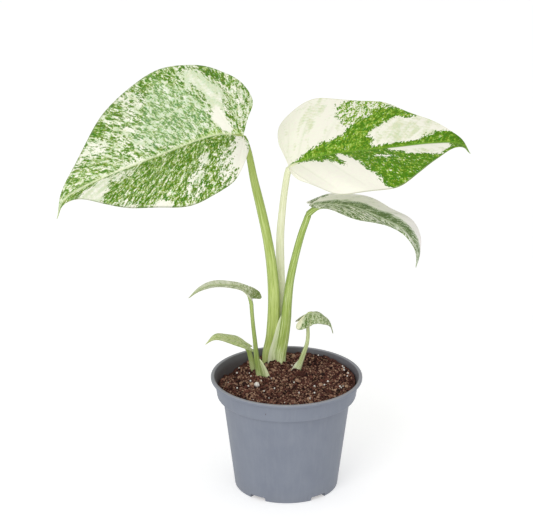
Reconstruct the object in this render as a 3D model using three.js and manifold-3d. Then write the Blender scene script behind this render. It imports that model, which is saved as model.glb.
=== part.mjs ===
// A variegated monstera in its nursery pot: one plant with three large leaves and three young
// side shoots, standing in potting soil.
// Millimetres, +Z up. The origin is the centre of the pot's underside, and -Y is the front.

import * as THREE from 'three';
import { mergeVertices } from 'three/addons/utils/BufferGeometryUtils.js';
import Module from 'manifold-3d';

const wasm = await Module();
wasm.setup();

const clearance = 0.3; // kept wherever two pieces touch
const degrees = Math.PI / 180;
const up = new THREE.Vector3(0, 0, 1);

// Pot: a moulded shell with a flared collar, a rolled lip and drain notches round the foot
const pot = {
  height: 93,
  footRadius: 41,
  shoulderRadius: 50.5, // where the body meets the collar
  collarHeight: 16.5,
  collarFootRadius: 55,
  collarTopRadius: 57,
  lipRadius: 60,
  lipHeight: 2.5,
  lipWidth: 2.6, // of the level top; the wall slopes in below it
  wall: 1.3,
  floor: 2,
  edge: 0.7, // rounding of the lip and the foot
  segments: 64,
};
const notch = { count: 5, width: 14, height: 3.2, depth: 7, firstAngle: -124 };

// Soil: fills the pot, low behind on the left, heaped round the stems
const soil = {
  level: 87.5,
  gap: 0.6, // to the pot's wall, which is faceted too
  riseRight: 2.2,
  riseBack: 2.2,
  hollow: { x: -43, y: 29, depth: 4.5, reach: 17 },
  heap: { x: -4, y: 28, height: 2, reach: 22 },
  segments: 54,
  rings: 14,
  crumbs: 330,
  crumbRadius: [2.4, 4.6],
  crumbHeight: [0.7, 2.1],
  grains: 14,
  grainRadius: [0.9, 1.7],
};

// The short main stem in the soil, which the three large petioles grow from
const mainStem = { x: -9, y: 35, top: 83.2, length: 24, topRadius: 10.5, footRadius: 6.5 };

// Petioles: each runs from its buried end to its blade. Every point has its own radius.
// A sheath is a thin wing along the foot of a petiole, from one share of its path to another.
const petioles = {
  left_petiole: {
    colour: 0x9cbf55,
    blade: 'left_blade',
    path: [
      [-14.5, 35.5, 83.5], [-14.5, 35.5, 96], [-11.5, 33, 114], [-10, 29, 143.5], [-11.5, 24.5, 172.5],
      [-15, 20, 199.5], [-20, 15.5, 226], [-25.5, 11, 252], [-29.5, 7, 275], [-33.5, 5, 290],
    ],
    radii: [4.8, 4.8, 4.9, 4.7, 4.2, 3.7, 3.6, 3.3, 2.7, 2.3],
    groove: 0.14,
  },
  right_petiole: {
    colour: 0x8fb64f,
    blade: 'right_blade',
    path: [
      [-4.5, 30.5, 83.5], [-4.5, 30.5, 97], [-2.5, 30, 110], [-0.5, 29, 127], [0.5, 28, 141.5],
      [2.5, 26.5, 161.5], [6.5, 25, 182.5], [11.5, 23.5, 203], [16.5, 22.5, 218.5], [19, 22, 228],
    ],
    radii: [4.3, 4.3, 4.2, 4, 3.6, 3.2, 3, 2.8, 2.6, 2.4],
    groove: 0.12,
    sheath: { from: 0, to: 0.41, width: 10.5, heading: [-1, -0.22, 0], thickness: 1.2 },
  },
  upper_petiole: {
    colour: 0xe6e6bd,
    blade: 'upper_blade',
    path: [
      [-6.5, 39.5, 83.5], [-6.5, 39.5, 97], [-4, 38, 112], [-3, 37, 131], [-4, 36, 151],
      [-5, 34.5, 175.5], [-5, 33, 199.5], [-3, 31, 225.5], [-0.5, 29, 246], [1.5, 28, 257],
    ],
    radii: [3.2, 3.2, 3.2, 3.2, 3.2, 3.3, 3.1, 2.8, 2.6, 2.5],
    groove: 0.14,
  },
  tall_shoot_petiole: {
    colour: 0x86b056,
    blade: 'tall_shoot_blade',
    path: [
      [-19.5, 10.5, 74], [-21, 10, 86], [-23.5, 9.5, 101.5], [-25, 9, 117.5], [-26.5, 9, 132],
      [-27.5, 9, 144], [-28, 9, 152.4],
    ],
    radii: [3, 2.9, 2.3, 1.8, 1.6, 1.5, 1.6],
    groove: 0.1,
    sheath: { from: 0, to: 0.36, width: 9.5, heading: [1, -0.1, 0], thickness: 1 },
  },
  short_shoot_petiole: {
    colour: 0x93b860,
    blade: 'short_shoot_blade',
    path: [[-25, 26.5, 76], [-26.5, 26, 86], [-28.5, 25, 97], [-30.5, 24, 105.5]],
    radii: [2.4, 2.3, 2.1, 1.8],
    groove: 0.1,
  },
  right_shoot_petiole: {
    colour: 0x8cb45a,
    blade: 'right_shoot_blade',
    path: [
      [7.5, 18.5, 74], [8.5, 18, 86], [10.5, 17.5, 94], [13.5, 17, 103.5], [16.5, 17, 114],
      [17, 17, 124.5], [15.6, 17, 135.6],
    ],
    radii: [2.7, 2.6, 2.2, 1.8, 1.5, 1.4, 1.5],
    groove: 0.1,
    sheath: { from: 0, to: 0.44, width: 6.5, heading: [-1, -0.1, 0], thickness: 1 },
  },
};

// Outlines of half a blade as it would lie flat: distance along the midrib from the petiole,
// then distance out from the midrib. They run from the notch round the lobe to the tip.
const shootOutline = [
  [0, 0], [-4, 3], [-7, 8], [-5, 12], [1, 15], [9, 16.5], [18, 16], [27, 14], [36, 10.5], [44, 6.5],
  [51, 3], [58, 0],
];
const slimOutline = [
  [0, 0], [-1, 1], [-1.5, 2.2], [0.5, 3.8], [5, 5.2], [12, 5.6], [22, 5.8], [32, 5.4], [42, 4],
  [51, 2], [60, 0],
];
const earedOutline = [
  [0, 0], [-3, 3], [-6.5, 6.5], [-6.8, 9.5], [-2.5, 11], [3, 8.6], [9, 5.4], [14, 4.2], [22, 4.3],
  [31, 4.7], [41, 4.1], [51, 2.4], [60, 0],
];
const smallOutline = [
  [0, 0], [-6, 2], [-10.5, 5], [-11.5, 8.5], [-8, 11], [-1, 12], [7, 12], [14, 10.5], [20, 8],
  [25, 5], [30, 2], [34, 0],
];
const bladeThickness = 0.8;

// Blades. The midrib is a curve in space from the petiole to the tip. Roll turns the blade about
// it and raises the left half, fold raises a half from the midrib, and curl bends it on from there.
// Left is the left hand of someone looking from the petiole to the tip.
const blades = {
  left_blade: {
    colour: 0x86ab55,
    midrib: [
      [-33.5, 5, 290], [-57.5, 2.5, 290.5], [-99, -2, 276], [-143.5, -6.5, 258.5],
      [-169.5, -9, 244], [-177, -10, 227.5],
    ],
    roll: [-30, -30],
    left: {
      fold: 16,
      curl: -25,
      outline: [
        [0, 0], [-1.5, 12], [3.5, 26], [11, 41], [21, 54], [36, 61], [54, 61], [75, 54], [97, 43.5],
        [117, 28], [136, 11], [151, 3], [165, 0],
      ],
    },
    right: {
      fold: 16,
      curl: -5,
      outline: [
        [0, 0], [-6, 14], [-14, 31], [-9, 47], [6, 58.5], [26, 66], [50, 70.5], [74, 66.5], [98, 53],
        [119, 34.5], [137, 16.5], [152, 4.5], [165, 0],
      ],
    },
    wave: { height: 1.3, count: 5 },
    keel: 2,
    rows: 28,
    columns: [0.06, 0.25, 0.5, 0.75, 1],
  },
  upper_blade: {
    colour: 0xb9cb83,
    midrib: [
      [1.5, 28, 257], [19.5, 28, 264.5], [47.5, 28, 269.5], [81.5, 28, 273], [112.5, 28, 276.5],
      [133.5, 28, 276], [142.5, 28, 268],
    ],
    roll: [22, 20],
    left: {
      fold: 11,
      curl: -10,
      outline: [
        [0, 0], [-2, 12], [-5.5, 28], [-3, 44], [7, 56], [24, 63], [42, 60], [61, 57], [80, 51.5],
        [98, 38.5], [116, 26], [132, 10.5], [147, 0],
      ],
    },
    right: {
      fold: 11,
      curl: -20,
      outline: [
        [0, 0], [1, 8], [5, 18], [12, 28], [22, 39], [36, 48.5], [53, 51], [70, 50], [86, 46],
        [101, 35.5], [115, 21.5], [130, 7.5], [147, 0],
      ],
    },
    wave: { height: 1.1, count: 4.5 },
    keel: 1.9,
    rows: 28,
    columns: [0.06, 0.25, 0.5, 0.75, 1],
  },
  right_blade: {
    colour: 0x7d9a66,
    midrib: [
      [19, 22, 228], [37, 17, 230], [54, 13, 228.6], [72, 9, 222], [89, 5, 214], [99, 2, 202],
      [101.5, 2, 192], [100.5, 2, 183],
    ],
    roll: [-4, 8],
    left: {
      fold: 4,
      curl: -14,
      outline: [
        [0, 0], [-5, 6], [-2, 16], [5, 30], [14, 39.5], [27, 40], [43, 32], [57, 27], [71, 26],
        [84, 23], [96, 15.5], [105, 8], [111.5, 0],
      ],
    },
    right: {
      fold: 5,
      curl: -6,
      outline: [
        [0, 0], [-1, 4], [3, 9], [9, 13], [17, 18], [29, 23.5], [42, 23], [55, 16], [67, 8],
        [79, 4.5], [91, 5], [102, 4.2], [111.5, 0],
      ],
    },
    wave: { height: 0.8, count: 4 },
    keel: 1.7,
    rows: 26,
    columns: [0.08, 0.3, 0.55, 0.8, 1],
  },
  tall_shoot_blade: {
    colour: 0xa3bb8e,
    midrib: [
      [-28, 9, 154.5], [-31.5, 9, 159.5], [-37, 9, 163.8], [-45, 8.5, 165.5], [-58, 7.5, 165.7],
      [-68, 5.5, 163], [-77, 3.5, 157],
    ],
    roll: [0, 0],
    left: { fold: 12, curl: -14, outline: slimOutline },
    right: { fold: 48, curl: -12, outline: earedOutline },
    wave: { height: 0.5, count: 3 },
    keel: 1.2,
    rows: 16,
    columns: [0.14, 0.55, 1],
  },
  short_shoot_blade: {
    colour: 0xb2c96f,
    scale: 0.68,
    midrib: [[-30.5, 24, 107], [-38, 23, 112], [-48, 21, 115.5], [-57, 19, 117], [-64.5, 17, 112]],
    roll: [0, -6],
    left: { fold: 12, curl: -24, outline: shootOutline },
    right: { fold: 12, curl: -24, outline: shootOutline },
    wave: { height: 0.3, count: 3 },
    keel: 1,
    rows: 14,
    columns: [0.2, 0.6, 1],
  },
  right_shoot_blade: {
    colour: 0x93ab86,
    midrib: [
      [15.5, 17, 137.5], [18.5, 17, 139.3], [25, 17, 139.3], [32, 18, 134], [35.5, 19, 127.5],
      [37, 19, 120.5],
    ],
    roll: [4, 0],
    left: { fold: -16, curl: -40, outline: smallOutline },
    right: { fold: -8, curl: -45, outline: smallOutline },
    wave: { height: 0.4, count: 3 },
    keel: 1,
    rows: 14,
    columns: [0.2, 0.6, 1],
  },
};
const fanShare = 0.36; // share of a half outline whose side veins all start at the petiole
const veinSpread = 1.45; // how the other veins crowd towards the petiole
const veinBow = 1.2; // how the veins bend forward on their way to the edge
const lobeShare = 0.3; // share of the midrib along which the blade turns from its lobes' heading
const foldLoss = 0.3; // share of the fold that is lost by the tip
const keelTaper = 0.7;

// Random numbers from 0 to 1, the same every time for one seed
function randomFrom(seed) {
  let state = seed;
  return () => {
    state = (state * 1664525 + 1013904223) % 4294967296;
    return state / 4294967296;
  };
}

const between = ([low, high], share) => low + (high - low) * share;
const point = (values) => new THREE.Vector3(...values);
const curveThrough = (points) => new THREE.CatmullRomCurve3(points.map(point), false, 'catmullrom', 0.5);

// A value that follows a list of values at equal steps
function along(values, share) {
  const place = share * (values.length - 1);
  const index = Math.min(Math.floor(place), values.length - 2);
  return THREE.MathUtils.lerp(values[index], values[index + 1], place - index);
}

// A geometry from a list of corners and triangles, leaving out triangles with two equal corners
function geometryFrom(corners, triangles) {
  const geometry = new THREE.BufferGeometry().setFromPoints(corners);
  const whole = triangles.filter(([a, b, c]) => a !== b && b !== c && c !== a);
  geometry.setIndex(whole.flat());
  return geometry;
}

// A closed solid for joining and cutting
function solidOf(geometry) {
  const bare = geometry.clone();
  bare.deleteAttribute('normal');
  bare.deleteAttribute('uv');
  const merged = mergeVertices(bare, 1e-3);
  const index = merged.index.array;
  const triVerts = [];
  for (let i = 0; i < index.length; i += 3) {
    const [a, b, c] = [index[i], index[i + 1], index[i + 2]];
    if (a !== b && b !== c && c !== a) triVerts.push(a, b, c);
  }
  return new wasm.Manifold(new wasm.Mesh({
    numProp: 3,
    vertProperties: Float32Array.from(merged.attributes.position.array),
    triVerts: Uint32Array.from(triVerts),
  }));
}

function geometryOf(solid) {
  const mesh = solid.getMesh();
  const geometry = new THREE.BufferGeometry();
  geometry.setAttribute('position', new THREE.BufferAttribute(mesh.vertProperties, 3));
  geometry.setIndex(new THREE.BufferAttribute(mesh.triVerts, 1));
  return geometry;
}

// The largest body of a cut solid, with its nearly equal corners joined first
function largestOf(solid) {
  const bodies = solidOf(geometryOf(solid)).decompose();
  return bodies.sort((a, b) => b.volume() - a.volume())[0];
}

// A closed skin through rings of equal count, each running anticlockwise seen from the last ring
function skin(rings) {
  const count = rings[0].length;
  const corners = rings.flat();
  const centreOf = (ring) => ring.reduce((sum, p) => sum.add(p), new THREE.Vector3()).divideScalar(count);
  const first = corners.push(centreOf(rings[0])) - 1;
  const last = corners.push(centreOf(rings[rings.length - 1])) - 1;
  const triangles = [];
  for (let j = 0; j < count; j += 1) {
    const next = (j + 1) % count;
    triangles.push([first, next, j]);
    for (let i = 0; i < rings.length - 1; i += 1) {
      const [a, b] = [i * count + j, i * count + next];
      triangles.push([a, b, b + count], [a, b + count, a + count]);
    }
    const top = (rings.length - 1) * count;
    triangles.push([last, top + j, top + next]);
  }
  return geometryFrom(corners, triangles);
}

// Pot

function potProfile() {
  const { height, wall, floor, edge, footRadius, shoulderRadius } = pot;
  const { collarFootRadius, collarTopRadius, lipRadius, lipWidth } = pot;
  const collarFoot = height - pot.collarHeight;
  const lipFoot = height - pot.lipHeight;
  const outside = [
    [0, 0], [footRadius - edge, 0], [footRadius, edge], [shoulderRadius, collarFoot - 2 * edge],
    [collarFootRadius - edge, collarFoot - edge / 2], [collarFootRadius, collarFoot + edge],
    [collarTopRadius, lipFoot - edge], [lipRadius - edge, lipFoot], [lipRadius, lipFoot + edge],
    [lipRadius, height - edge], [lipRadius - edge, height],
  ];
  const inside = [
    [lipRadius - lipWidth + edge, height], [lipRadius - lipWidth, height - edge],
    [collarTopRadius - wall, lipFoot - wall], [collarFootRadius - wall, collarFoot + wall],
    [shoulderRadius - wall, collarFoot],
    [footRadius - wall + edge / 2, floor + edge], [footRadius - wall - edge / 2, floor], [0, floor],
  ];
  return [...outside, ...inside].map(([r, z]) => new THREE.Vector2(r, z));
}

// A lathe turns about Y, so its result is stood up on +Z
function turned(profile, segments) {
  const geometry = new THREE.LatheGeometry(profile, segments);
  geometry.rotateX(Math.PI / 2);
  return geometry;
}

function potGeometry() {
  let shell = solidOf(turned(potProfile(), pot.segments));
  for (let i = 0; i < notch.count; i += 1) {
    const cut = new THREE.BoxGeometry(2 * notch.depth, notch.width, 2 * notch.height);
    cut.translate(pot.footRadius, 0, 0);
    cut.rotateZ((notch.firstAngle + (360 / notch.count) * i) * degrees);
    shell = shell.subtract(solidOf(cut));
  }
  return geometryOf(shell);
}

// Radius of the pot's inner wall at a height
function innerRadius(z) {
  const collarFoot = pot.height - pot.collarHeight;
  if (z < collarFoot) {
    const share = (z - pot.floor) / (collarFoot - pot.floor);
    return between([pot.footRadius, pot.shoulderRadius], share) - pot.wall;
  }
  const share = (z - collarFoot - pot.wall) / (pot.collarHeight - pot.wall - pot.edge);
  return between([pot.collarFootRadius, pot.collarTopRadius], share) - pot.wall;
}

// Petioles

// Rings round a path, each with a shallow groove on the side that faces back
function petioleRings(spec, extra) {
  const path = curveThrough(spec.path);
  const sides = 12;
  const grooveSharpness = 8;
  const steps = (spec.path.length - 1) * 2;
  const rings = [];
  for (let i = 0; i <= steps; i += 1) {
    const share = i / steps;
    const centre = path.getPoint(share);
    const tangent = path.getTangent(share);
    if (i === 0) centre.addScaledVector(tangent, -extra);
    if (i === steps) centre.addScaledVector(tangent, extra);
    const across = new THREE.Vector3(0, 1, 0).cross(tangent).normalize();
    const back = tangent.clone().cross(across);
    const radius = along(spec.radii, share) + extra;
    const ring = [];
    for (let j = 0; j < sides; j += 1) {
      const angle = (j / sides) * 2 * Math.PI;
      const dip = 1 - spec.groove * Math.max(0, Math.sin(angle)) ** grooveSharpness;
      const corner = centre.clone();
      corner.addScaledVector(across, radius * Math.cos(angle) * dip);
      corner.addScaledVector(back, radius * Math.sin(angle) * dip);
      ring.push(corner);
    }
    rings.push(ring);
  }
  return rings;
}

// The wing of a sheath: full width at the soil, running out to nothing at its upper end
function sheathRings(spec, extra) {
  const { from, to, width, thickness } = spec.sheath;
  const path = curveThrough(spec.path);
  const heading = point(spec.sheath.heading).normalize();
  const steps = 7;
  const rings = [];
  for (let i = 0; i <= steps; i += 1) {
    const share = i / steps;
    const centre = path.getPoint(THREE.MathUtils.lerp(from, to, share));
    if (i === 0) centre.z -= extra;
    if (i === steps) centre.z += extra;
    const reach = Math.max(thickness, width * Math.sqrt(1 - share ** 2)) + extra;
    const edge = thickness / 2 + extra;
    const root = thickness * 0.8 + extra;
    const normal = heading.clone().cross(up).normalize();
    const corner = (out, side) => centre.clone().addScaledVector(heading, out).addScaledVector(normal, side);
    rings.push([corner(0, -root), corner(0, root), corner(reach, edge), corner(reach, -edge)]);
  }
  return rings;
}

function petioleSolid(spec, extra = 0) {
  const stalk = solidOf(skin(petioleRings(spec, extra)));
  if (!spec.sheath) return stalk;
  return stalk.add(solidOf(skin(sheathRings(spec, extra))));
}

// Blades

// A blade's midrib with the directions that its cross sections use
function midribOf(spec) {
  const curve = curveThrough(spec.midrib);
  curve.arcLengthDivisions = 600;
  const chord = point(spec.midrib[spec.midrib.length - 2]).sub(point(spec.midrib[0])).normalize();
  const level = up.clone().cross(chord).normalize();
  return { curve, length: curve.getLength(), chord, level, upright: chord.clone().cross(level) };
}

// The place of a flat blade's point (along, out) in space, with the normal of the upper face
function bladePlace(spec, midrib, half, distance, out) {
  const { curve, length, level, upright } = midrib;
  const share = THREE.MathUtils.clamp(distance / length, 0, 1);
  const ease = THREE.MathUtils.smoothstep(share, 0, 1);
  const start = curve.getTangentAt(0);
  const tangent = curve.getTangentAt(share);
  const bend = THREE.MathUtils.smoothstep(share, 0, lobeShare);
  const heading = start.clone().lerp(tangent, bend);
  const roll = between(spec.roll, ease) * degrees;
  const side = level.clone().multiplyScalar(Math.cos(roll)).addScaledVector(upright, Math.sin(roll));
  const normal = heading.clone().cross(side).normalize();
  const widest = Math.max(...half.outline.map(([, out]) => out)) * (spec.scale ?? 1);
  const fold = half.fold * (1 - foldLoss * ease) * degrees;
  const curl = (half.curl * degrees) / widest;
  const turn = fold + curl * out;
  const spread = (Math.sin(turn) - Math.sin(fold)) / curl;
  const lift = (Math.cos(fold) - Math.cos(turn)) / curl;
  const hand = half === spec.left ? 1 : -1;
  const place = curve.getPointAt(share).addScaledVector(tangent, Math.min(distance, 0));
  place.addScaledVector(side, hand * spread).addScaledVector(normal, lift);
  if (out === 0) return { place, face: normal };
  const face = normal.multiplyScalar(Math.cos(turn)).addScaledVector(side, -hand * Math.sin(turn));
  return { place, face };
}

// A closed blade: a grid along the side veins on each half, both faces split alike,
// with a waved edge and a keel under the midrib
function bladeSolid(spec, extra = 0) {
  const midrib = midribOf(spec);
  const scale = spec.scale ?? 1;
  const upper = [];
  const lower = [];
  const known = new Map();
  const triangles = [];
  for (const half of [spec.left, spec.right]) {
    const hand = half === spec.left ? 1 : -1;
    const outline = curveThrough(half.outline.map(([distance, out]) => [distance * scale, out * scale, 0]));
    const reach = half.outline[half.outline.length - 1][0] * scale;
    const stretch = midrib.length / reach;
    const cornerAt = (row, column) => {
      const round = row / spec.rows;
      const outward = column === 0 ? 0 : spec.columns[column - 1];
      const edge = outline.getPoint(round);
      const foot = midrib.length * Math.max(0, (round - fanShare) / (1 - fanShare)) ** veinSpread;
      const distance = THREE.MathUtils.lerp(foot, edge.x * stretch, outward ** veinBow);
      const out = edge.y * outward;
      const key = `${distance.toFixed(3)} ${(out * hand).toFixed(3)}`;
      if (known.has(key)) return known.get(key);
      const { place, face } = bladePlace(spec, midrib, half, distance, out);
      const wave = spec.wave.height * Math.sin(2 * Math.PI * spec.wave.count * round + hand) * outward ** 3;
      place.addScaledVector(face, wave * Math.sin(Math.PI * round));
      const keel = outward === 0 ? spec.keel * (1 - distance / midrib.length) ** keelTaper : 0;
      const depth = bladeThickness / 2 + extra;
      upper.push(place.clone().addScaledVector(face, depth));
      lower.push(place.clone().addScaledVector(face, -depth - keel));
      known.set(key, upper.length - 1);
      return upper.length - 1;
    };
    for (let i = 0; i < spec.rows; i += 1) {
      for (let j = 0; j < spec.columns.length; j += 1) {
        const [a, b, c, d] = [cornerAt(i, j), cornerAt(i + 1, j), cornerAt(i + 1, j + 1), cornerAt(i, j + 1)];
        const cell = hand === 1 ? [[a, b, c], [a, c, d]] : [[a, c, b], [a, d, c]];
        triangles.push(...cell.filter((t) => new Set(t).size === 3));
      }
    }
  }
  return solidOf(closedSheet(upper, lower, triangles));
}

// A petiole cut clear of its blade, also just behind the notch, and level with the blade's
// lower face so that nothing stands up in the notch
function cutUnder(solid, spec) {
  const midrib = midribOf(spec);
  const { place, face } = bladePlace(spec, midrib, spec.left, 0, 0);
  const room = bladeSolid(spec, clearance);
  const behind = room.translate(midrib.chord.multiplyScalar(-2 * clearance).toArray());
  const level = bladeThickness / 2 + clearance - place.dot(face);
  return solid.subtract(room.add(behind)).trimByPlane(face.negate().toArray(), level);
}

// Two faces with the same triangles, joined by a wall along the edges that only one triangle uses
function closedSheet(upper, lower, triangles) {
  const below = upper.length;
  const edges = new Map();
  for (const [a, b, c] of triangles) {
    for (const [from, to] of [[a, b], [b, c], [c, a]]) edges.set(`${from} ${to}`, [from, to]);
  }
  const all = [...triangles];
  for (const [a, b, c] of triangles) all.push([c + below, b + below, a + below]);
  for (const [from, to] of edges.values()) {
    if (edges.has(`${to} ${from}`)) continue;
    all.push([from, from + below, to + below], [from, to + below, to]);
  }
  return geometryFrom([...upper, ...lower], all);
}

// Soil

function soilHeight(x, y, crumbs) {
  const { hollow, heap } = soil;
  const bell = (spot) => Math.exp(-((x - spot.x) ** 2 + (y - spot.y) ** 2) / spot.reach ** 2);
  let height = soil.level + (soil.riseRight * x + soil.riseBack * y) / pot.collarFootRadius;
  height += heap.height * bell(heap) - hollow.depth * bell(hollow);
  let relief = 0;
  for (const crumb of crumbs) {
    const share = 1 - ((x - crumb.x) ** 2 + (y - crumb.y) ** 2) / crumb.radius ** 2;
    relief = Math.max(relief, crumb.height * share);
  }
  return height + relief - soil.crumbHeight[1] / 2;
}

// Random places spread evenly over the soil's round top
function scatter(count, seed, reach, make) {
  const random = randomFrom(seed);
  return Array.from({ length: count }, () => {
    const radius = reach * Math.sqrt(random());
    const angle = random() * 2 * Math.PI;
    return make(radius * Math.cos(angle), radius * Math.sin(angle), random);
  });
}

function soilSolid(standing) {
  const reach = innerRadius(soil.level);
  const crumbs = scatter(soil.crumbs, 7, reach, (x, y, random) => {
    return { x, y, radius: between(soil.crumbRadius, random()), height: between(soil.crumbHeight, random()) };
  });
  const ringAt = (radiusOf, heightOf) => Array.from({ length: soil.segments }, (_, j) => {
    const angle = (j / soil.segments) * 2 * Math.PI;
    const x = Math.cos(angle);
    const y = Math.sin(angle);
    const radius = radiusOf(x, y);
    return new THREE.Vector3(x * radius, y * radius, heightOf(x * radius, y * radius));
  });
  const collarFoot = pot.height - pot.collarHeight;
  const foot = pot.floor + clearance;
  const shoulder = pot.shoulderRadius - pot.wall;
  const rings = [
    ringAt(() => innerRadius(foot) - soil.gap - clearance, () => foot),
    ringAt(() => shoulder - soil.gap, () => collarFoot + clearance),
    ringAt(() => innerRadius(collarFoot) - soil.gap, () => collarFoot + pot.wall + soil.gap),
  ];
  const edgeRadius = (x, y) => innerRadius(soilHeight(x * reach, y * reach, crumbs)) - soil.gap;
  rings.push(ringAt(edgeRadius, (x, y) => soilHeight(x, y, crumbs)));
  for (let i = 1; i < soil.rings; i += 1) {
    const radius = reach * (1 - i / soil.rings);
    rings.push(ringAt(() => radius, (x, y) => soilHeight(x, y, crumbs)));
  }
  let body = solidOf(skin(rings));
  const grains = scatter(soil.grains, 23, reach * 0.9, (x, y, random) => {
    const grain = new THREE.IcosahedronGeometry(between(soil.grainRadius, random()), 0);
    grain.translate(x, y, soilHeight(x, y, crumbs));
    return solidOf(grain);
  });
  for (const grain of grains) body = body.add(grain);
  for (const stem of standing) body = body.subtract(stem);
  return largestOf(body);
}

// Main stem: a short stub with a flat top, narrowing to its foot
function mainStemGeometry(extra = 0) {
  const { x, y, top, length, topRadius, footRadius } = mainStem;
  const profile = [
    [0, -length - extra], [footRadius * 0.6 + extra, -length - extra], [footRadius + extra, -length * 0.8],
    [topRadius + extra, -length * 0.25], [topRadius + extra, extra], [0, extra],
  ].map(([r, z]) => new THREE.Vector2(r, z));
  const geometry = turned(profile, 20);
  geometry.translate(x, y, top);
  return geometry;
}

// Assembly

const plant = new THREE.Group();

function addPiece(name, geometry, colour, roughness) {
  const material = new THREE.MeshStandardMaterial({ color: colour, roughness, metalness: 0 });
  const mesh = new THREE.Mesh(geometry, material);
  mesh.name = name;
  plant.add(mesh);
}

addPiece('pot', potGeometry(), 0x838c95, 0.45);

// Each petiole is cut clear of its blade and of the petioles already placed beside it
const crowd = ['left_petiole', 'right_petiole', 'upper_petiole'];
for (const [name, spec] of Object.entries(petioles)) {
  let solid = cutUnder(petioleSolid(spec), blades[spec.blade]);
  for (const earlier of crowd.slice(0, Math.max(0, crowd.indexOf(name)))) {
    solid = solid.subtract(petioleSolid(petioles[earlier], clearance));
  }
  addPiece(name, geometryOf(largestOf(solid)), spec.colour, 0.45);
}
for (const [name, spec] of Object.entries(blades)) {
  addPiece(name, geometryOf(bladeSolid(spec)), spec.colour, 0.4);
}
addPiece('main_stem', mainStemGeometry(), 0xa9935f, 0.7);

const standing = Object.values(petioles).map((spec) => petioleSolid(spec, clearance));
standing.push(solidOf(mainStemGeometry(clearance)));
addPiece('soil', geometryOf(soilSolid(standing)), 0x553a2b, 0.95);

export default plant;
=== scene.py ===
import math

import bmesh
import bpy
import numpy as np
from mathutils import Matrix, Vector, noise


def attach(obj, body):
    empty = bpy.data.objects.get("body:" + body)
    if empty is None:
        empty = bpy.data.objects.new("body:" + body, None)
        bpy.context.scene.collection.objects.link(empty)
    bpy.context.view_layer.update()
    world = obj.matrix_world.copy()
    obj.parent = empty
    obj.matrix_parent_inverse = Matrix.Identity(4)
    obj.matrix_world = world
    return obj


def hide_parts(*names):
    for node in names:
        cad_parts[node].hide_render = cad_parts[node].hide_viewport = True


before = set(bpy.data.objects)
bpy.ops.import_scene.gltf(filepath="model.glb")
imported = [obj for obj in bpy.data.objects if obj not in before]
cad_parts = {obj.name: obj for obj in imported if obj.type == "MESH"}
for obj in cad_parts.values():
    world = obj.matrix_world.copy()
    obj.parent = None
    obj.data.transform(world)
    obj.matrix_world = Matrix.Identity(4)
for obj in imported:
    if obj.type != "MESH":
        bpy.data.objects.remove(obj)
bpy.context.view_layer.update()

mm = 0.001  # every size below is in millimetres
print("frame loaded")


# Node trees, for materials and for geometry alike

class Wire:  # an output socket that can be used in a sum
    def __init__(self, tree, socket):
        self.tree = tree
        self.socket = socket

    def __add__(self, other):
        return self.tree.maths("ADD", self, other)

    def __sub__(self, other):
        return self.tree.maths("SUBTRACT", self, other)

    def __rsub__(self, other):
        return self.tree.maths("SUBTRACT", other, self)

    def __mul__(self, other):
        return self.tree.maths("MULTIPLY", self, other)

    __radd__ = __add__
    __rmul__ = __mul__

    def clamp(self):
        return self.tree.maths("ADD", self, 0.0, clamp=True)

    def above(self, level, softness):  # 0 below the level, 1 above it
        return ((self - level) * (1 / softness) + 0.5).clamp()


class Tree:
    def __init__(self, nodes):
        self.tree = nodes

    def node(self, kind, settings=None, values=None, output=0):
        made = self.tree.nodes.new(kind)
        for name, value in (settings or {}).items():
            if name == "stops":
                for place, shade in value:
                    made.color_ramp.elements.new(place).color = shade
                for spare in (0, -1):  # the ramp's own first and last stop
                    made.color_ramp.elements.remove(made.color_ramp.elements[spare])
            else:
                setattr(made, name, value)
        for place, value in (values or {}).items():
            self.feed(made.inputs[place], value)
        return Wire(self, made.outputs[output])

    def vector(self, operation, values):
        return self.node("ShaderNodeVectorMath", {"operation": operation}, values)

    def maths(self, operation, first, second=0.0, clamp=False):
        settings = {"operation": operation, "use_clamp": clamp}
        return self.node("ShaderNodeMath", settings, {0: first, 1: second})

    def feed(self, socket, value):
        if isinstance(value, Wire):
            self.tree.links.new(value.socket, socket)
        else:
            socket.default_value = value


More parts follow.
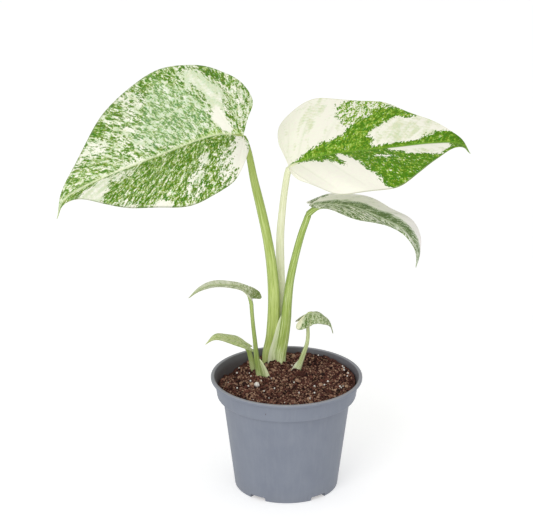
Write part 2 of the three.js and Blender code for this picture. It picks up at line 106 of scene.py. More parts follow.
class Paint(Tree):  # a material and its principled shader
    def __init__(self, name, specular):
        self.material = bpy.data.materials.new(name)
        self.material.use_nodes = True
        super().__init__(self.material.node_tree)
        self.shader = self.tree.nodes["Principled BSDF"]
        self.shader.inputs["Specular IOR Level"].default_value = specular

    def objectPlace(self, stretch=(1, 1, 1)):
        place = self.node("ShaderNodeTexCoord", output="Object")
        return self.vector("MULTIPLY", {0: place, 1: [part / mm for part in stretch]})

    def place(self, attribute):
        return self.node("ShaderNodeAttribute", {"attribute_name": attribute}, output="Vector")

    def amount(self, attribute):
        return self.node("ShaderNodeAttribute", {"attribute_name": attribute}, output="Fac")

    def noise(self, place, scale, detail, roughness):
        values = {"Vector": place, "Scale": scale, "Detail": detail, "Roughness": roughness}
        return self.node("ShaderNodeTexNoise", {}, values)

    def streaked(self, place, way, reach, scale, detail, roughness):
        # A noise drawn out along the way: three taken in a row, with half as much contrast again
        moved = [self.vector("MULTIPLY_ADD", {0: way, 1: (part, part, part), 2: place})
                 for part in (-reach, 0, reach)]
        parts = [self.noise(spot, scale, detail, roughness) for spot in moved]
        return (parts[0] + parts[1] + parts[2]) * 0.5 - 0.25

    def cells(self, place, scale):
        return self.node("ShaderNodeTexVoronoi", {}, {"Vector": place, "Scale": scale})

    def layered(self, shade, *layers):  # each layer is a cover from 0 to 1 and a colour
        for cover, tone in layers:
            values = {0: cover, 6: shade, 7: tone}
            shade = self.node("ShaderNodeMix", {"data_type": "RGBA"}, values, output=2)
        return shade

    def finish(self, shade, roughness, height, depth, strength):
        bump = {"Strength": strength, "Distance": depth * mm, "Height": height}
        self.feed(self.shader.inputs["Base Color"], shade)
        self.feed(self.shader.inputs["Roughness"], roughness)
        self.feed(self.shader.inputs["Normal"], self.node("ShaderNodeBump", {}, bump))
        return self.material


def colour(red, green, blue):  # from 0..255 as seen, to linear light
    parts = [value / 255 for value in (red, green, blue)]
    return [v / 12.92 if v < 0.04045 else ((v + 0.055) / 1.055) ** 2.4 for v in parts] + [1.0]


def colours(spec):
    return {key: colour(*tone) for key, tone in spec["tones"].items()}


# Shapes

up = np.array([0, 0, 1.0])


def unit(vectors):
    return vectors / np.linalg.norm(vectors, axis=-1, keepdims=True)


def smooth(share):
    share = np.clip(share, 0, 1)
    return share * share * (3 - 2 * share)


def mix(first, second, share):
    return first + (second - first) * share


def curveThrough(points, share):  # an even spline through the points
    knots = np.array(points, float)
    knots = np.vstack([2 * knots[0] - knots[1], knots, 2 * knots[-1] - knots[-2]])
    place = np.clip(share, 0, 1) * (len(points) - 1)
    index = np.minimum(place.astype(int), len(points) - 2)
    t = (place - index)[..., None]
    a, b, c, d = (knots[index + k] for k in range(4))
    return b + 0.5 * t * (c - a + t * (2 * a - 5 * b + 4 * c - d + t * (3 * (b - c) + d - a)))


def reachesAlong(points):  # how far along the points each one lies
    steps = np.linalg.norm(np.diff(points, axis=0), axis=1)
    return np.concatenate([[0], np.cumsum(steps)])


class Line:  # a spline read by its length
    def __init__(self, points):
        self.samples = curveThrough(points, np.linspace(0, 1, 3001))
        self.reached = reachesAlong(self.samples)
        self.length = self.reached[-1]

    def at(self, share):
        reach = share * self.length
        return np.stack([np.interp(reach, self.reached, self.samples[:, k]) for k in range(3)], -1)

    def heading(self, share):
        return unit(self.at(np.minimum(share + 2e-3, 1)) - self.at(np.maximum(share - 2e-3, 0)))


def roughness3d(points, scale, octaves):  # a seedless noise at each point, about -1 to 1
    return np.array([noise.fractal(Vector(p) * scale, 1.0, 2.0, octaves) for p in points])


def gridFaces(rows, columns, first=0, closed=False):
    # Quads between rows of points; closed joins the last column to the first
    i, j = np.meshgrid(np.arange(rows - 1), np.arange(columns if closed else columns - 1), indexing="ij")
    after = (j + 1) % columns
    quads = [i * columns + j, i * columns + after, (i + 1) * columns + after, (i + 1) * columns + j]
    return np.stack([corner.ravel() for corner in quads], -1) + first


def makePiece(name, points, faces, attributes, material):
    # Equal points are joined first, and faces that this closes up are left out
    _, kept, index = np.unique(np.round(points, 3), axis=0, return_index=True, return_inverse=True)
    corners = np.array(faces)
    if corners.shape[1] == 4:
        corners = np.vstack([corners[:, [0, 1, 2]], corners[:, [0, 2, 3]]])
    triangles = index.ravel()[corners]
    a, b, c = triangles.T
    triangles = triangles[(a != b) & (b != c) & (c != a)]
    # Of two slivers on the same three points the first stays. Left to validate, either one may go,
    # and the mesh isn't the same each run
    _, first = np.unique(np.sort(triangles, axis=1), axis=0, return_index=True)
    triangles = triangles[np.sort(first)]
    mesh = bpy.data.meshes.new(name)
    mesh.from_pydata((points[kept] * mm).tolist(), [], triangles.tolist())
    for key, values in attributes.items():
        values = np.asarray(values, float)[kept]
        vector = values.ndim == 2
        layer = mesh.attributes.new(key, "FLOAT_VECTOR" if vector else "FLOAT", "POINT")
        layer.data.foreach_set("vector" if vector else "value", values.ravel())
    mesh.validate()
    mesh.shade_smooth()
    mesh.materials.append(material)
    piece = bpy.data.objects.new(name, mesh)
    bpy.context.collection.objects.link(piece)
    return piece


def applyModifiers(piece):  # the evaluated shape becomes the piece's plain mesh
    shape = piece.evaluated_get(bpy.context.evaluated_depsgraph_get())
    mesh = bpy.data.meshes.new_from_object(shape, depsgraph=bpy.context.evaluated_depsgraph_get())
    piece.modifiers.clear()
    piece.data = mesh
    mesh.name = piece.name


def settle(piece, node=None):
    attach(piece, "root")
    if node:
        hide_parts(node)
    print("made", piece.name, len(piece.data.polygons), "faces")


def cadName(name):  # leftBlade is left_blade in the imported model
    return "".join("_" + letter.lower() if letter.isupper() else letter for letter in name)


# Blades

youngOutline = [[0, 0], [-4, 3], [-7, 8], [-5, 12], [1, 15], [9, 16.5], [18, 16], [27, 14], [36, 10.5],
                [44, 6.5], [51, 3], [58, 0]]
slimOutline = [[0, 0], [-1, 1], [-1.5, 2.2], [0.5, 3.8], [5, 5.2], [12, 5.6], [22, 5.8], [32, 5.4],
               [42, 4], [51, 2], [60, 0]]
earedOutline = [[0, 0], [-3, 3], [-6.5, 6.5], [-6.8, 9.5], [-2.5, 11], [3, 8.6], [9, 5.4], [14, 4.2],
                [22, 4.3], [31, 4.7], [41, 4.1], [51, 2.4], [60, 0]]
smallOutline = [[0, 0], [-6, 2], [-10.5, 5], [-11.5, 8.5], [-8, 11], [-1, 12], [7, 12], [14, 10.5],
                [20, 8], [25, 5], [30, 2], [34, 0]]
blade = {
    "rows": 220, "columns": 56, "crowding": 1.35,
    "thickness": 0.7, "edgeThickness": 0.35,
    "fanShare": 0.36, "veinSpread": 1.45, "veinBow": 1.2, "lobeShare": 0.3, "foldLoss": 0.3,
    "keelTaper": 0.7, "keelWidth": 1.7, "grooveDepth": 0.3, "grooveWidth": 0.9,
    "sideVeins": 9, "smallVeins": 0.6, "veinWidth": 0.055, "quilting": 0.3, "veinDepth": 0.12,
    "veinTint": 0.17, "midribTint": 1.2, "rimFrom": 0.975, "lengthWeight": 3.5, "borderBlur": 0.11,
    "wobble": [(0.1, 9, 1.3, 0), (0.07, 19, -2.1, 1)],  # height, turns round, turns outward, phase
    "noiseSpread": {"green": 0.062, "deep": 0.062, "flecks": 0.062, "milk": 0.09},
}
# Markings lie on a half blade, at a place round it from notch to tip and a place from midrib to edge.
# A mark is a soft ellipse: its two places, half width and half length, and the shares there of green,
# milk, deep and so on, with its slant if it leans. A patch is an outline of places, over the marks.
# The haze share in the halves below is a painted sheen: a pale bluish-grey laid over the blade's colour,
# and each blade's haze tone is the colour of that painted sheen.
leftBlade = {
    "slot": "leaf_mottled",
    "midrib": [[-33.5, 5, 290], [-57.5, 2.5, 290.5], [-99, -2, 276], [-143.5, -6.5, 258.5],
               [-169.5, -9, 244], [-177, -10, 227.5]],
    "roll": [-30, -30], "wave": [1.3, 5], "keel": 2,
    "halves": [
        {"fold": 16, "curl": -25,
         "outline": [[0, 0], [-1.5, 12], [3.5, 26], [11, 41], [21, 54], [36, 61], [54, 61], [75, 54],
                     [97, 43.5], [117, 28], [136, 11], [151, 3], [165, 0]],
         "base": {"green": 0.78, "milk": 0.25, "deep": 0.58, "flecks": 0.05},
         "marks": [
             (0.55, 0.12, 0.2, 0.2, {"green": 0.88, "deep": 0.65}),
             (0.66, 0.3, 0.06, 0.26, {"green": 0.85, "deep": 0.65}),
             (0.275, 0.55, 0.135, 0.6, {"green": -0.14, "milk": 0.0, "slant": -0.1}),
             (0.33, 0.85, 0.03, 0.12, {"green": 0.45}),
             (0.41, 0.5, 0.014, 0.14, {"green": 0.3}),
             (0.522, 0.42, 0.016, 0.1, {"green": 0.25}),
             (0.515, 0.64, 0.026, 0.1, {"green": 0.3}),
             (0.5, 0.82, 0.04, 0.1, {"green": 0.5}),
             (0.585, 0.97, 0.024, 0.06, {"green": 0.0, "milk": 0.1}),
             (0.69, 0.95, 0.03, 0.07, {"green": 0.45, "milk": 0.3}),
             (0.79, 0.3, 0.04, 0.16, {"green": 0.3, "milk": 0.8}),
             (0.93, 0.5, 0.05, 0.7, {"green": 0.85}),
             (0.83, 0.03, 0.07, 0.04, {"green": 0.05, "milk": 0.1}),
         ],
         "patches": [
             ([(0.845, 0.8), (0.84, 0.22), (0.807, 0.4), (0.78, 0.8), (0.755, 1.05), (0.84, 1.05)],
              {"green": -0.02, "milk": 0.55}),
         ]},
        {"fold": 16, "curl": -5,
         "outline": [[0, 0], [-6, 14], [-14, 31], [-9, 47], [6, 58.5], [26, 66], [50, 70.5], [74, 66.5],
                     [98, 53], [119, 34.5], [137, 16.5], [152, 4.5], [165, 0]],
         "base": {"green": 0.57, "milk": 0.5, "deep": 0.47, "flecks": 0.05, "haze": 0.1},
         "marks": [
             (0.25, 0.5, 0.09, 0.6, {"green": 0.46, "milk": 0.5, "deep": 0.4}),
             (0.36, 0.92, 0.1, 0.12, {"green": 0.6, "deep": 0.45}),
             (0.34, 0.85, 0.022, 0.12, {"green": 0.75, "deep": 0.6}),
             (0.52, 0.95, 0.05, 0.1, {"green": 0.75, "deep": 0.6}),
             (0.62, 0.84, 0.045, 0.13, {"green": 0.4, "milk": 0.35, "deep": 0.55}),
             (0.65, 0.92, 0.018, 0.1, {"green": 0.76, "deep": 0.62}),
             (0.687, 0.61, 0.014, 0.07, {"green": 0.15, "milk": 0.2}),
             (0.71, 0.93, 0.02, 0.1, {"green": 0.92, "deep": 0.72}),
             (0.765, 0.82, 0.026, 0.16, {"green": 0.26, "milk": 0.25}),
             (0.82, 0.9, 0.02, 0.1, {"green": 0.35, "milk": 0.2}),
             (0.45, 0.02, 0.16, 0.05, {"green": 0.85, "milk": 0.6, "deep": 0.3}),
             (0.84, 0.03, 0.08, 0.05, {"green": 0.05, "milk": 0.1}),
             (0.86, 0.5, 0.08, 0.5, {"green": 0.66, "deep": 0.45}),
         ],
         "patches": [
             ([(0.52, 0.91), (0.49, 0.66), (0.473, 0.44), (0.503, 0.1), (0.633, 0.04), (0.723, 0.2),
               (0.708, 0.46), (0.633, 0.61)],
              {"green": 0.6, "milk": 0.64, "deep": 0.42, "haze": 0.65}),
             ([(0.7, 0.42), (0.68, 0.3), (0.705, 0.16), (0.722, 0.32)],
              {"green": 0.1, "milk": 0.6, "haze": 0.2}),
             ([(0.465, 1.05), (0.425, 0.95), (0.475, 0.73), (0.51, 0.84), (0.5, 1.05)],
              {"green": 0.74, "deep": 0.6}),
             ([(0.405, 1.05), (0.352, 0.97), (0.315, 0.85), (0.37, 0.81), (0.41, 0.88)],
              {"green": 0.92, "deep": 0.75}),
             ([(0.455, 0.88), (0.413, 0.95), (0.398, 0.73), (0.357, 0.69), (0.413, 0.36), (0.458, 0.32),
               (0.462, 0.48), (0.45, 0.67), (0.47, 0.74)],
              {"green": 0.04, "milk": 0.8, "haze": 0.15}),
             ([(0.465, 0.32), (0.435, 0.4), (0.428, 0.27), (0.44, 0.04), (0.482, 0.04), (0.488, 0.19)],
              {"green": -0.12, "milk": -0.1, "haze": 0.0}),
         ]},
    ],
    "tones": {"cream": (245, 244, 228), "pale": (220, 228, 200), "bright": (184, 207, 132),
              "light": (147, 178, 76), "green": (112, 150, 40), "deep": (76, 117, 8),
              "vein": (218, 228, 184), "under": (189, 203, 152), "haze": (168, 201, 176),
              "rim": (136, 150, 112)},
    "grain": 1.14, "crisp": 3.6, "drawn": 0.75, "blur": 0.9, "drift": 0.16, "speckle": 0.6,
}
upperBlade = {
    "slot": "leaf_cream",
    "midrib": [[1.5, 28, 257], [19.5, 28, 264.5], [47.5, 28, 269.5], [81.5, 28, 273],
               [112.5, 28, 276.5], [133.5, 28, 276], [142.5, 28, 268]],
    "roll": [22, 20], "wave": [1.1, 4.5], "keel": 1.9,
    "halves": [
        {"fold": 11, "curl": -10,
         "outline": [[0, 0], [-2, 12], [-5.5, 28], [-3, 44], [7, 56], [24, 63], [42, 60], [61, 57],
                     [80, 51.5], [98, 38.5], [116, 26], [132, 10.5], [147, 0]],
         "base": {"green": -0.1, "milk": 0.05, "deep": 0.55, "flecks": -0.02},
         "marks": [
             (0.45, 0.72, 0.045, 0.26, {"milk": 0.4}),
             (0.79, 0.5, 0.08, 0.3, {"milk": 0.6}),
             (0.83, 0.93, 0.05, 0.1, {"milk": 0.4}),
         ],
         "patches": [
             ([(0.535, 0.72), (0.52, 0.91), (0.565, 1.05), (0.7, 1.05), (0.67, 0.8), (0.64, 0.56),
               (0.6, 0.42), (0.575, 0.58), (0.562, 0.58)],
              {"green": 0.58, "deep": 0.26}),
             ([(0.36, -0.1), (0.39, 0.03), (0.45, 0.05), (0.515, 0.17), (0.568, 0.25), (0.608, 0.33),
               (0.623, 0.46), (0.633, 0.58), (0.655, 0.67), (0.662, 0.82), (0.7, 0.97), (0.735, 1.05),
               (0.785, 1.05), (0.77, 0.86), (0.74, 0.81), (0.723, 0.67), (0.71, 0.55), (0.7, 0.43),
               (0.7, 0.29), (0.723, 0.26), (0.73, 0.07), (0.74, -0.1)],
              {"green": 0.98, "deep": 0.62}),
             ([(0.7, -0.1), (0.73, 0.08), (0.797, 0.14), (0.85, 0.21), (0.865, 0.49), (0.873, 0.72),
               (0.893, 0.91), (0.92, 1.05), (1.1, 1.05), (1.1, -0.1)],
              {"green": 0.98, "deep": 0.75, "flecks": -0.06}),
         ]},
        {"fold": 11, "curl": -20,
         "outline": [[0, 0], [1, 8], [5, 18], [12, 28], [22, 39], [36, 48.5], [53, 51], [70, 50],
                     [86, 46], [101, 35.5], [115, 21.5], [130, 7.5], [147, 0]],
         "base": {"green": -0.12, "milk": -0.02, "deep": 0.75, "flecks": 0},
         "patches": [
             ([(0.36, -0.1), (0.4, 0.025), (0.473, 0.05), (0.535, 0.2), (0.562, 0.13), (0.573, 0.3),
               (0.59, 0.4), (0.602, 0.36), (0.603, 0.18), (0.62, -0.1)],
              {"green": 0.97}),
             ([(0.6, -0.1), (0.642, 0.23), (0.645, 0.31), (0.638, 0.47), (0.635, 0.7), (0.623, 0.78),
               (0.62, 0.93), (0.635, 1.1), (0.88, 1.1), (0.878, 1.0), (0.815, 0.49), (0.805, 0.38),
               (0.81, 0.3), (0.78, 0.11), (0.785, -0.1)],
              {"green": 0.97}),
             ([(0.86, 1.1), (0.873, 0.88), (0.915, 0.81), (0.94, -0.1), (1.1, -0.1), (1.1, 1.1)],
              {"green": 0.97}),
             ([(0.71, 0.26), (0.735, 0.24), (0.755, 0.36), (0.735, 0.33)], {"green": -0.1}),
             ([(0.638, 0.7), (0.65, 0.7), (0.647, 0.78), (0.636, 0.78)], {"green": -0.1}),
             ([(0.785, 0.05), (0.92, 0.74), (0.873, 0.86), (0.818, 0.46)], {"green": -0.12, "milk": 0.4}),
         ]},
    ],
    "tones": {"cream": (249, 247, 231), "pale": (224, 230, 196), "bright": (158, 191, 72),
              "light": (130, 171, 46), "green": (106, 150, 24), "deep": (78, 126, 8),
              "vein": (122, 164, 52), "under": (214, 221, 178), "haze": (226, 230, 212),
              "rim": (186, 192, 150)},
    "grain": 1.05, "crisp": 3.5, "drawn": 0.5, "blur": 0.7, "drift": 0.14, "speckle": 0.2,
}
rightBlade = {
    "slot": "leaf_dark",
    "midrib": [[19, 22, 228], [37, 17, 230], [54, 13, 228.6], [72, 9, 222], [89, 5, 214],
               [99, 2, 202], [101.5, 2, 192], [100.5, 2, 183]],
    "roll": [-4, 8], "wave": [0.8, 4], "keel": 1.7,
    "halves": [
        {"fold": 4, "curl": -14,
         "outline": [[0, 0], [-5, 6], [-2, 16], [5, 30], [14, 39.5], [27, 40], [43, 32], [57, 27],
                     [71, 26], [84, 23], [96, 15.5], [105, 8], [111.5, 0]],
         "base": {"green": -0.1, "milk": 0.05, "deep": 0.75, "flecks": 0.03},
         "marks": [
             (0.2, 0.5, 0.12, 0.6, {"green": 0.55, "milk": 0.4}),
         ],
         "patches": [
             ([(0.34, -0.1), (0.4, 0.16), (0.56, 0.42), (0.68, 0.5), (0.8, 0.6), (0.88, 0.8),
               (0.96, 1.1), (1.1, 1.1), (1.1, -0.1)],
              {"green": 0.45, "milk": 0.9, "haze": 0.8}),
             ([(0.34, -0.1), (0.42, 0.1), (0.58, 0.3), (0.7, 0.4), (0.82, 0.46), (0.9, 0.66),
               (0.96, 0.9), (1.1, 1.1), (1.1, -0.1)],
              {"green": 0.98, "haze": 0.2}),
         ]},
        {"fold": 5, "curl": -6,
         "outline": [[0, 0], [-1, 4], [3, 9], [9, 13], [17, 18], [29, 23.5], [42, 23], [55, 16],
                     [67, 8], [79, 4.5], [91, 5], [102, 4.2], [111.5, 0]],
         "base": {"green": 0.71, "milk": 0.45, "deep": 0.45},
         "marks": [
             (0.62, 0.7, 0.04, 0.2, {"green": 0.4}),
             (0.28, 0.6, 0.04, 0.2, {"green": 0.45}),
         ],
         "patches": [
             ([(0.66, -0.1), (0.72, 0.3), (0.82, 0.5), (0.9, 0.7), (1.1, 1.1), (1.1, -0.1)],
              {"green": 0.5, "milk": 0.7, "deep": 0.5}),
         ]},
    ],
    "tones": {"cream": (247, 243, 239), "pale": (206, 214, 190), "bright": (202, 213, 184),
              "light": (156, 173, 128), "green": (117, 140, 80), "deep": (82, 109, 42),
              "vein": (214, 222, 196), "under": (196, 206, 172), "haze": (186, 198, 178),
              "rim": (138, 148, 112)},
    "grain": 1.1, "crisp": 2.6, "drawn": 1.0, "blur": 0.7, "drift": 0.1, "speckle": 0.3,
}
youngLook = {"small": True, "crisp": 1.4, "drawn": 1.0, "drift": 0.1, "speckle": 0.5}
tallShootBlade = {
    "slot": "leaf_young",
    "midrib": [[-28, 9, 154.5], [-31.5, 9, 159.5], [-37, 9, 163.8], [-45, 8.5, 165.5],
               [-58, 7.5, 165.7], [-68, 5.5, 163], [-77, 3.5, 157]],
    "roll": [0, 0], "wave": [0.5, 3], "keel": 1.2,
    "halves": [
        {"fold": 12, "curl": -14, "outline": slimOutline,
         "base": {"green": 0.5, "milk": 0.85, "deep": 0.3, "haze": 0.3}},
        {"fold": 48, "curl": -12, "outline": earedOutline,
         "base": {"green": 0.34, "milk": 0.85, "deep": 0.2, "haze": 0.7},
         "marks": [(0.1, 0.5, 0.42, 1.4, {"green": 0.85, "deep": 0.8, "haze": 0.0})]},
    ],
    "tones": {"cream": (224, 224, 204), "pale": (203, 206, 184), "bright": (186, 194, 154),
              "light": (166, 177, 130), "green": (138, 153, 94), "deep": (106, 123, 62),
              "vein": (176, 188, 136), "under": (206, 209, 178), "haze": (208, 209, 196),
              "rim": (140, 150, 112)},
    "grain": 1.6, "blur": 0.8, **youngLook,
}
shortShootBlade = {
    "slot": "leaf_young", "scale": 0.68,
    "midrib": [[-30.5, 24, 107], [-38, 23, 112], [-48, 21, 115.5], [-57, 19, 117], [-64.5, 17, 112]],
    "roll": [0, -6], "wave": [0.3, 3], "keel": 1,
    "halves": [
        {"fold": 12, "curl": -24, "outline": youngOutline,
         "base": {"green": 0.5, "milk": 0.8, "deep": 0.2}},
        {"fold": 12, "curl": -24, "outline": youngOutline,
         "base": {"green": 0.4, "milk": 0.85, "deep": 0.2}},
    ],
    "tones": {"cream": (216, 222, 176), "pale": (194, 203, 154), "bright": (184, 197, 132),
              "light": (166, 184, 106), "green": (144, 165, 82), "deep": (114, 139, 54),
              "vein": (198, 208, 146), "under": (202, 208, 156), "haze": (196, 202, 178),
              "rim": (140, 156, 90)},
    "grain": 1.6, "blur": 0.8, **youngLook,
}
rightShootBlade = {
    "slot": "leaf_young",
    "midrib": [[15.5, 17, 137.5], [18.5, 17, 139.3], [25, 17, 139.3], [32, 18, 134], [35.5, 19, 127.5],
               [37, 19, 120.5]],
    "roll": [4, 0], "wave": [0.4, 3], "keel": 1,
    "halves": [
        {"fold": -16, "curl": -40, "outline": smallOutline,
         "base": {"green": 0.82, "milk": 0.8, "deep": 0.45}},
        {"fold": -8, "curl": -45, "outline": smallOutline,
         "base": {"green": 0.78, "milk": 0.8, "deep": 0.45},
         "marks": [(0.2, 0.6, 0.14, 0.55, {"green": 0.0, "milk": 0.3})]},
    ],
    "tones": {"cream": (226, 226, 194), "pale": (202, 208, 176), "bright": (178, 190, 150),
              "light": (150, 166, 118), "green": (124, 143, 90), "deep": (92, 115, 56),
              "vein": (178, 191, 146), "under": (218, 217, 182), "haze": (184, 196, 176),
              "rim": (108, 124, 84)},
    "grain": 1.0, "blur": 0.7, **youngLook,
}

tissue = {
    "mottling": (0.28, 0.42, 0.3),  # shares of the broad, the thin and the finest noise in it
    "border": 0.05, "contrast": 10, "shallowest": 0.34,
    "stops": {"bright": 0.0, "light": 0.22, "green": 0.48, "deep": 0.78},
    "starts": {"broad": (0, 0, 0), "thin": (40, 0, 40), "specks": (90, 90, 0), "veil": (20, 0, 0),
               "glints": (0, 55, 55), "drift": (0, 0, 33)},  # keeps the noises apart
    # Of the covers, haze lays on a painted sheen; the veins, the rim and the underside are the leaf's own
    # colour.
    "fleckCover": 0.85, "covers": {"haze": 0.3, "vein": 0.8, "rim": 0.5, "under": 0.5},
}


def leafPaint(name, spec):
    tones = colours(spec)
    grain, drawn, border = spec["grain"], spec["drawn"], tissue["border"] / spec["crisp"]
    paint = Paint(name, 0.15)
    flat, way = paint.place("flatPlace"), paint.place("veinWay")
    place = {key: paint.vector("ADD", {0: flat, 1: start}) for key, start in tissue["starts"].items()}
    broad = paint.streaked(place["broad"], way, 2.4 * drawn, 0.24 * grain, 1.0, 0.8)
    thin = paint.streaked(place["thin"], way, drawn, 0.62 * grain, 2.0, 0.75)
    specks = paint.noise(place["specks"], grain, 2.0, 0.7)
    veil = paint.streaked(place["veil"], way, 3.0, 0.2, 2.0, 0.6)
    glints = paint.streaked(place["glints"], way, 0.7, 0.75 * grain, 2.0, 0.7)
    drift = paint.noise(place["drift"], 0.33, 3.0, 0.65)
    broadShare, thinShare, speckShare = tissue["mottling"]
    mottling = broad * broadShare + thin * thinShare + specks * speckShare
    # Green grows where its level stands above the mottling, and is deeper the further the mottling sinks
    green, under = paint.amount("green"), paint.amount("under")
    grown = (green - mottling).above(0, border)
    sunk = paint.maths("MINIMUM", paint.amount("deep"), green) - mottling
    stops = [(spot, tones[key]) for key, spot in tissue["stops"].items()]
    growth = paint.node("ShaderNodeValToRGB", {"stops": stops},
                        {0: sunk * tissue["contrast"] + tissue["shallowest"]})
    milk = (paint.amount("milk") - veil).above(0, 0.2)
    flecks = (paint.amount("flecks") - glints).above(0, border)
    shade = paint.layered(
        tones["cream"], (milk, tones["pale"]),
        (milk * specks.above(0.54, 0.2) * spec["speckle"], tones["bright"]), (grown, growth),
        (flecks * grown * tissue["fleckCover"], tones["pale"]))
    hue = 0.5 + (drift - 0.5) * spec["drift"]
    shade = paint.node("ShaderNodeHueSaturation", {}, {"Hue": hue, "Color": shade})
    # Over it lie, in turn, the haze, which is a painted sheen, then the veins, the rim and the paler
    # underside.
    shade = paint.layered(shade, *[(paint.amount(key) * cover, tones[key])
                                   for key, cover in tissue["covers"].items()])
    return paint.finish(shade, 0.42 + specks * 0.14 + under * 0.12, mottling, 0.4, 0.6)


def coverLevel(share, spread):
    # The level of a noise that lies above this share of it, for noise spread as a bell curve. Shares
    # below 0 and above 1 run on in a line, for a surely bare or full cover.
    part = np.clip(share, 0.004, 0.996)
    beyond = np.clip(share - 1, 0, None) - np.clip(-share, 0, None)
    return 0.5 + spread * (4.91 * (part ** 0.14 - (1 - part) ** 0.14) + 10 * beyond)


def insideOf(corners, around, outward):
    # How far inside the outline each place lies, in half widths, and less than nothing outside it
    weight = blade["lengthWeight"]
    spots = np.stack([around * weight, outward], -1)
    ends = np.array(corners, float) * [weight, 1]
    nearest = np.full(around.shape, np.inf)
    inside = np.zeros(around.shape, bool)
    for first, second in zip(ends, np.roll(ends, -1, axis=0)):
        edge = second - first
        share = np.clip((spots - first) @ edge / (edge @ edge), 0, 1)
        nearest = np.minimum(nearest, np.linalg.norm(spots - first - share[..., None] * edge, axis=-1))
        height = spots[..., 1]
        passed = (first[1] > height) != (second[1] > height)
        inside ^= passed & (spots[..., 0] < first[0] + (height - first[1]) * edge[0] / (edge[1] or 1))
    return np.where(inside, nearest, -nearest)


def markShares(half, around, outward, blur):
    wobble = sum(height * np.sin(2 * np.pi * (turns * around + waves * outward) + phase)
                 for height, turns, waves, phase in blade["wobble"])
    # The haze share, a painted sheen, is none unless the half gives it.
    base = {"flecks": 0.1, "haze": 0, **half["base"]}
    shares = {key: np.full(around.shape, value, float) for key, value in base.items()}
    masks = []
    for centre, middle, wide, long, changes in half.get("marks", []):
        across = (around - centre - changes.get("slant", 0) * (outward - middle)) / wide
        reach = np.hypot(across, (outward - middle) / long) + wobble
        masks.append((smooth((1 - reach) / blur + 0.5), changes))
    for corners, changes in half.get("patches", []):
        inside = insideOf(corners, around, outward) / blade["borderBlur"]
        masks.append((smooth(inside + 0.5 + wobble * 0.6), changes))
    for mask, changes in masks:
        shares = {key: mix(values, changes.get(key, values), mask) for key, values in shares.items()}
    for key, spread in blade["noiseSpread"].items():
        shares[key] = coverLevel(shares[key], spread)
    return shares


def bladeSheet(spec, half, midrib, hand, around, outward):
    # The middle of half a blade and the way it faces, on a grid that runs round the outline and out
    # along the side veins, with the distances along the midrib and out from it
    outline = np.array(half["outline"], float) * spec.get("scale", 1)
    edge = curveThrough(outline, around)
    stretch = midrib.length / outline[-1, 0]
    fan = blade["fanShare"]
    foot = midrib.length * np.maximum(0, (around - fan) / (1 - fan)) ** blade["veinSpread"]
    along = mix(foot, edge[..., 0] * stretch, outward ** blade["veinBow"])
    out = edge[..., 1] * outward
    share = np.clip(along / midrib.length, 0, 1)
    ease = smooth(share)
    chord = unit(np.array(spec["midrib"][-2], float) - np.array(spec["midrib"][0], float))
    level = unit(np.cross(up, chord))
    upright = np.cross(chord, level)
    tangent = midrib.heading(share)
    heading = mix(midrib.heading(np.zeros(1)), tangent, smooth(share / blade["lobeShare"])[..., None])
    roll = np.radians(mix(*spec["roll"], ease))[..., None]
    side = level * np.cos(roll) + upright * np.sin(roll)
    normal = unit(np.cross(heading, side))
    fold = np.radians(half["fold"] * (1 - blade["foldLoss"] * ease))
    curl = np.radians(half["curl"]) / outline[:, 1].max()
    turn = fold + curl * out
    spread = ((np.sin(turn) - np.sin(fold)) / curl)[..., None]
    lift = ((np.cos(fold) - np.cos(turn)) / curl)[..., None]
    middle = midrib.at(share) + tangent * np.minimum(along, 0)[..., None]
    middle = middle + side * hand * spread + normal * lift
    face = normal * np.cos(turn)[..., None] - side * hand * np.sin(turn)[..., None]
    face = np.where((outward == 0)[..., None], normal, face)
    waveHeight, waveCount = spec["wave"]
    wave = waveHeight * np.sin(2 * np.pi * waveCount * around + hand) * outward ** 3
    middle = middle + face * (wave * np.sin(np.pi * around))[..., None]
    return middle, face, along, out, share


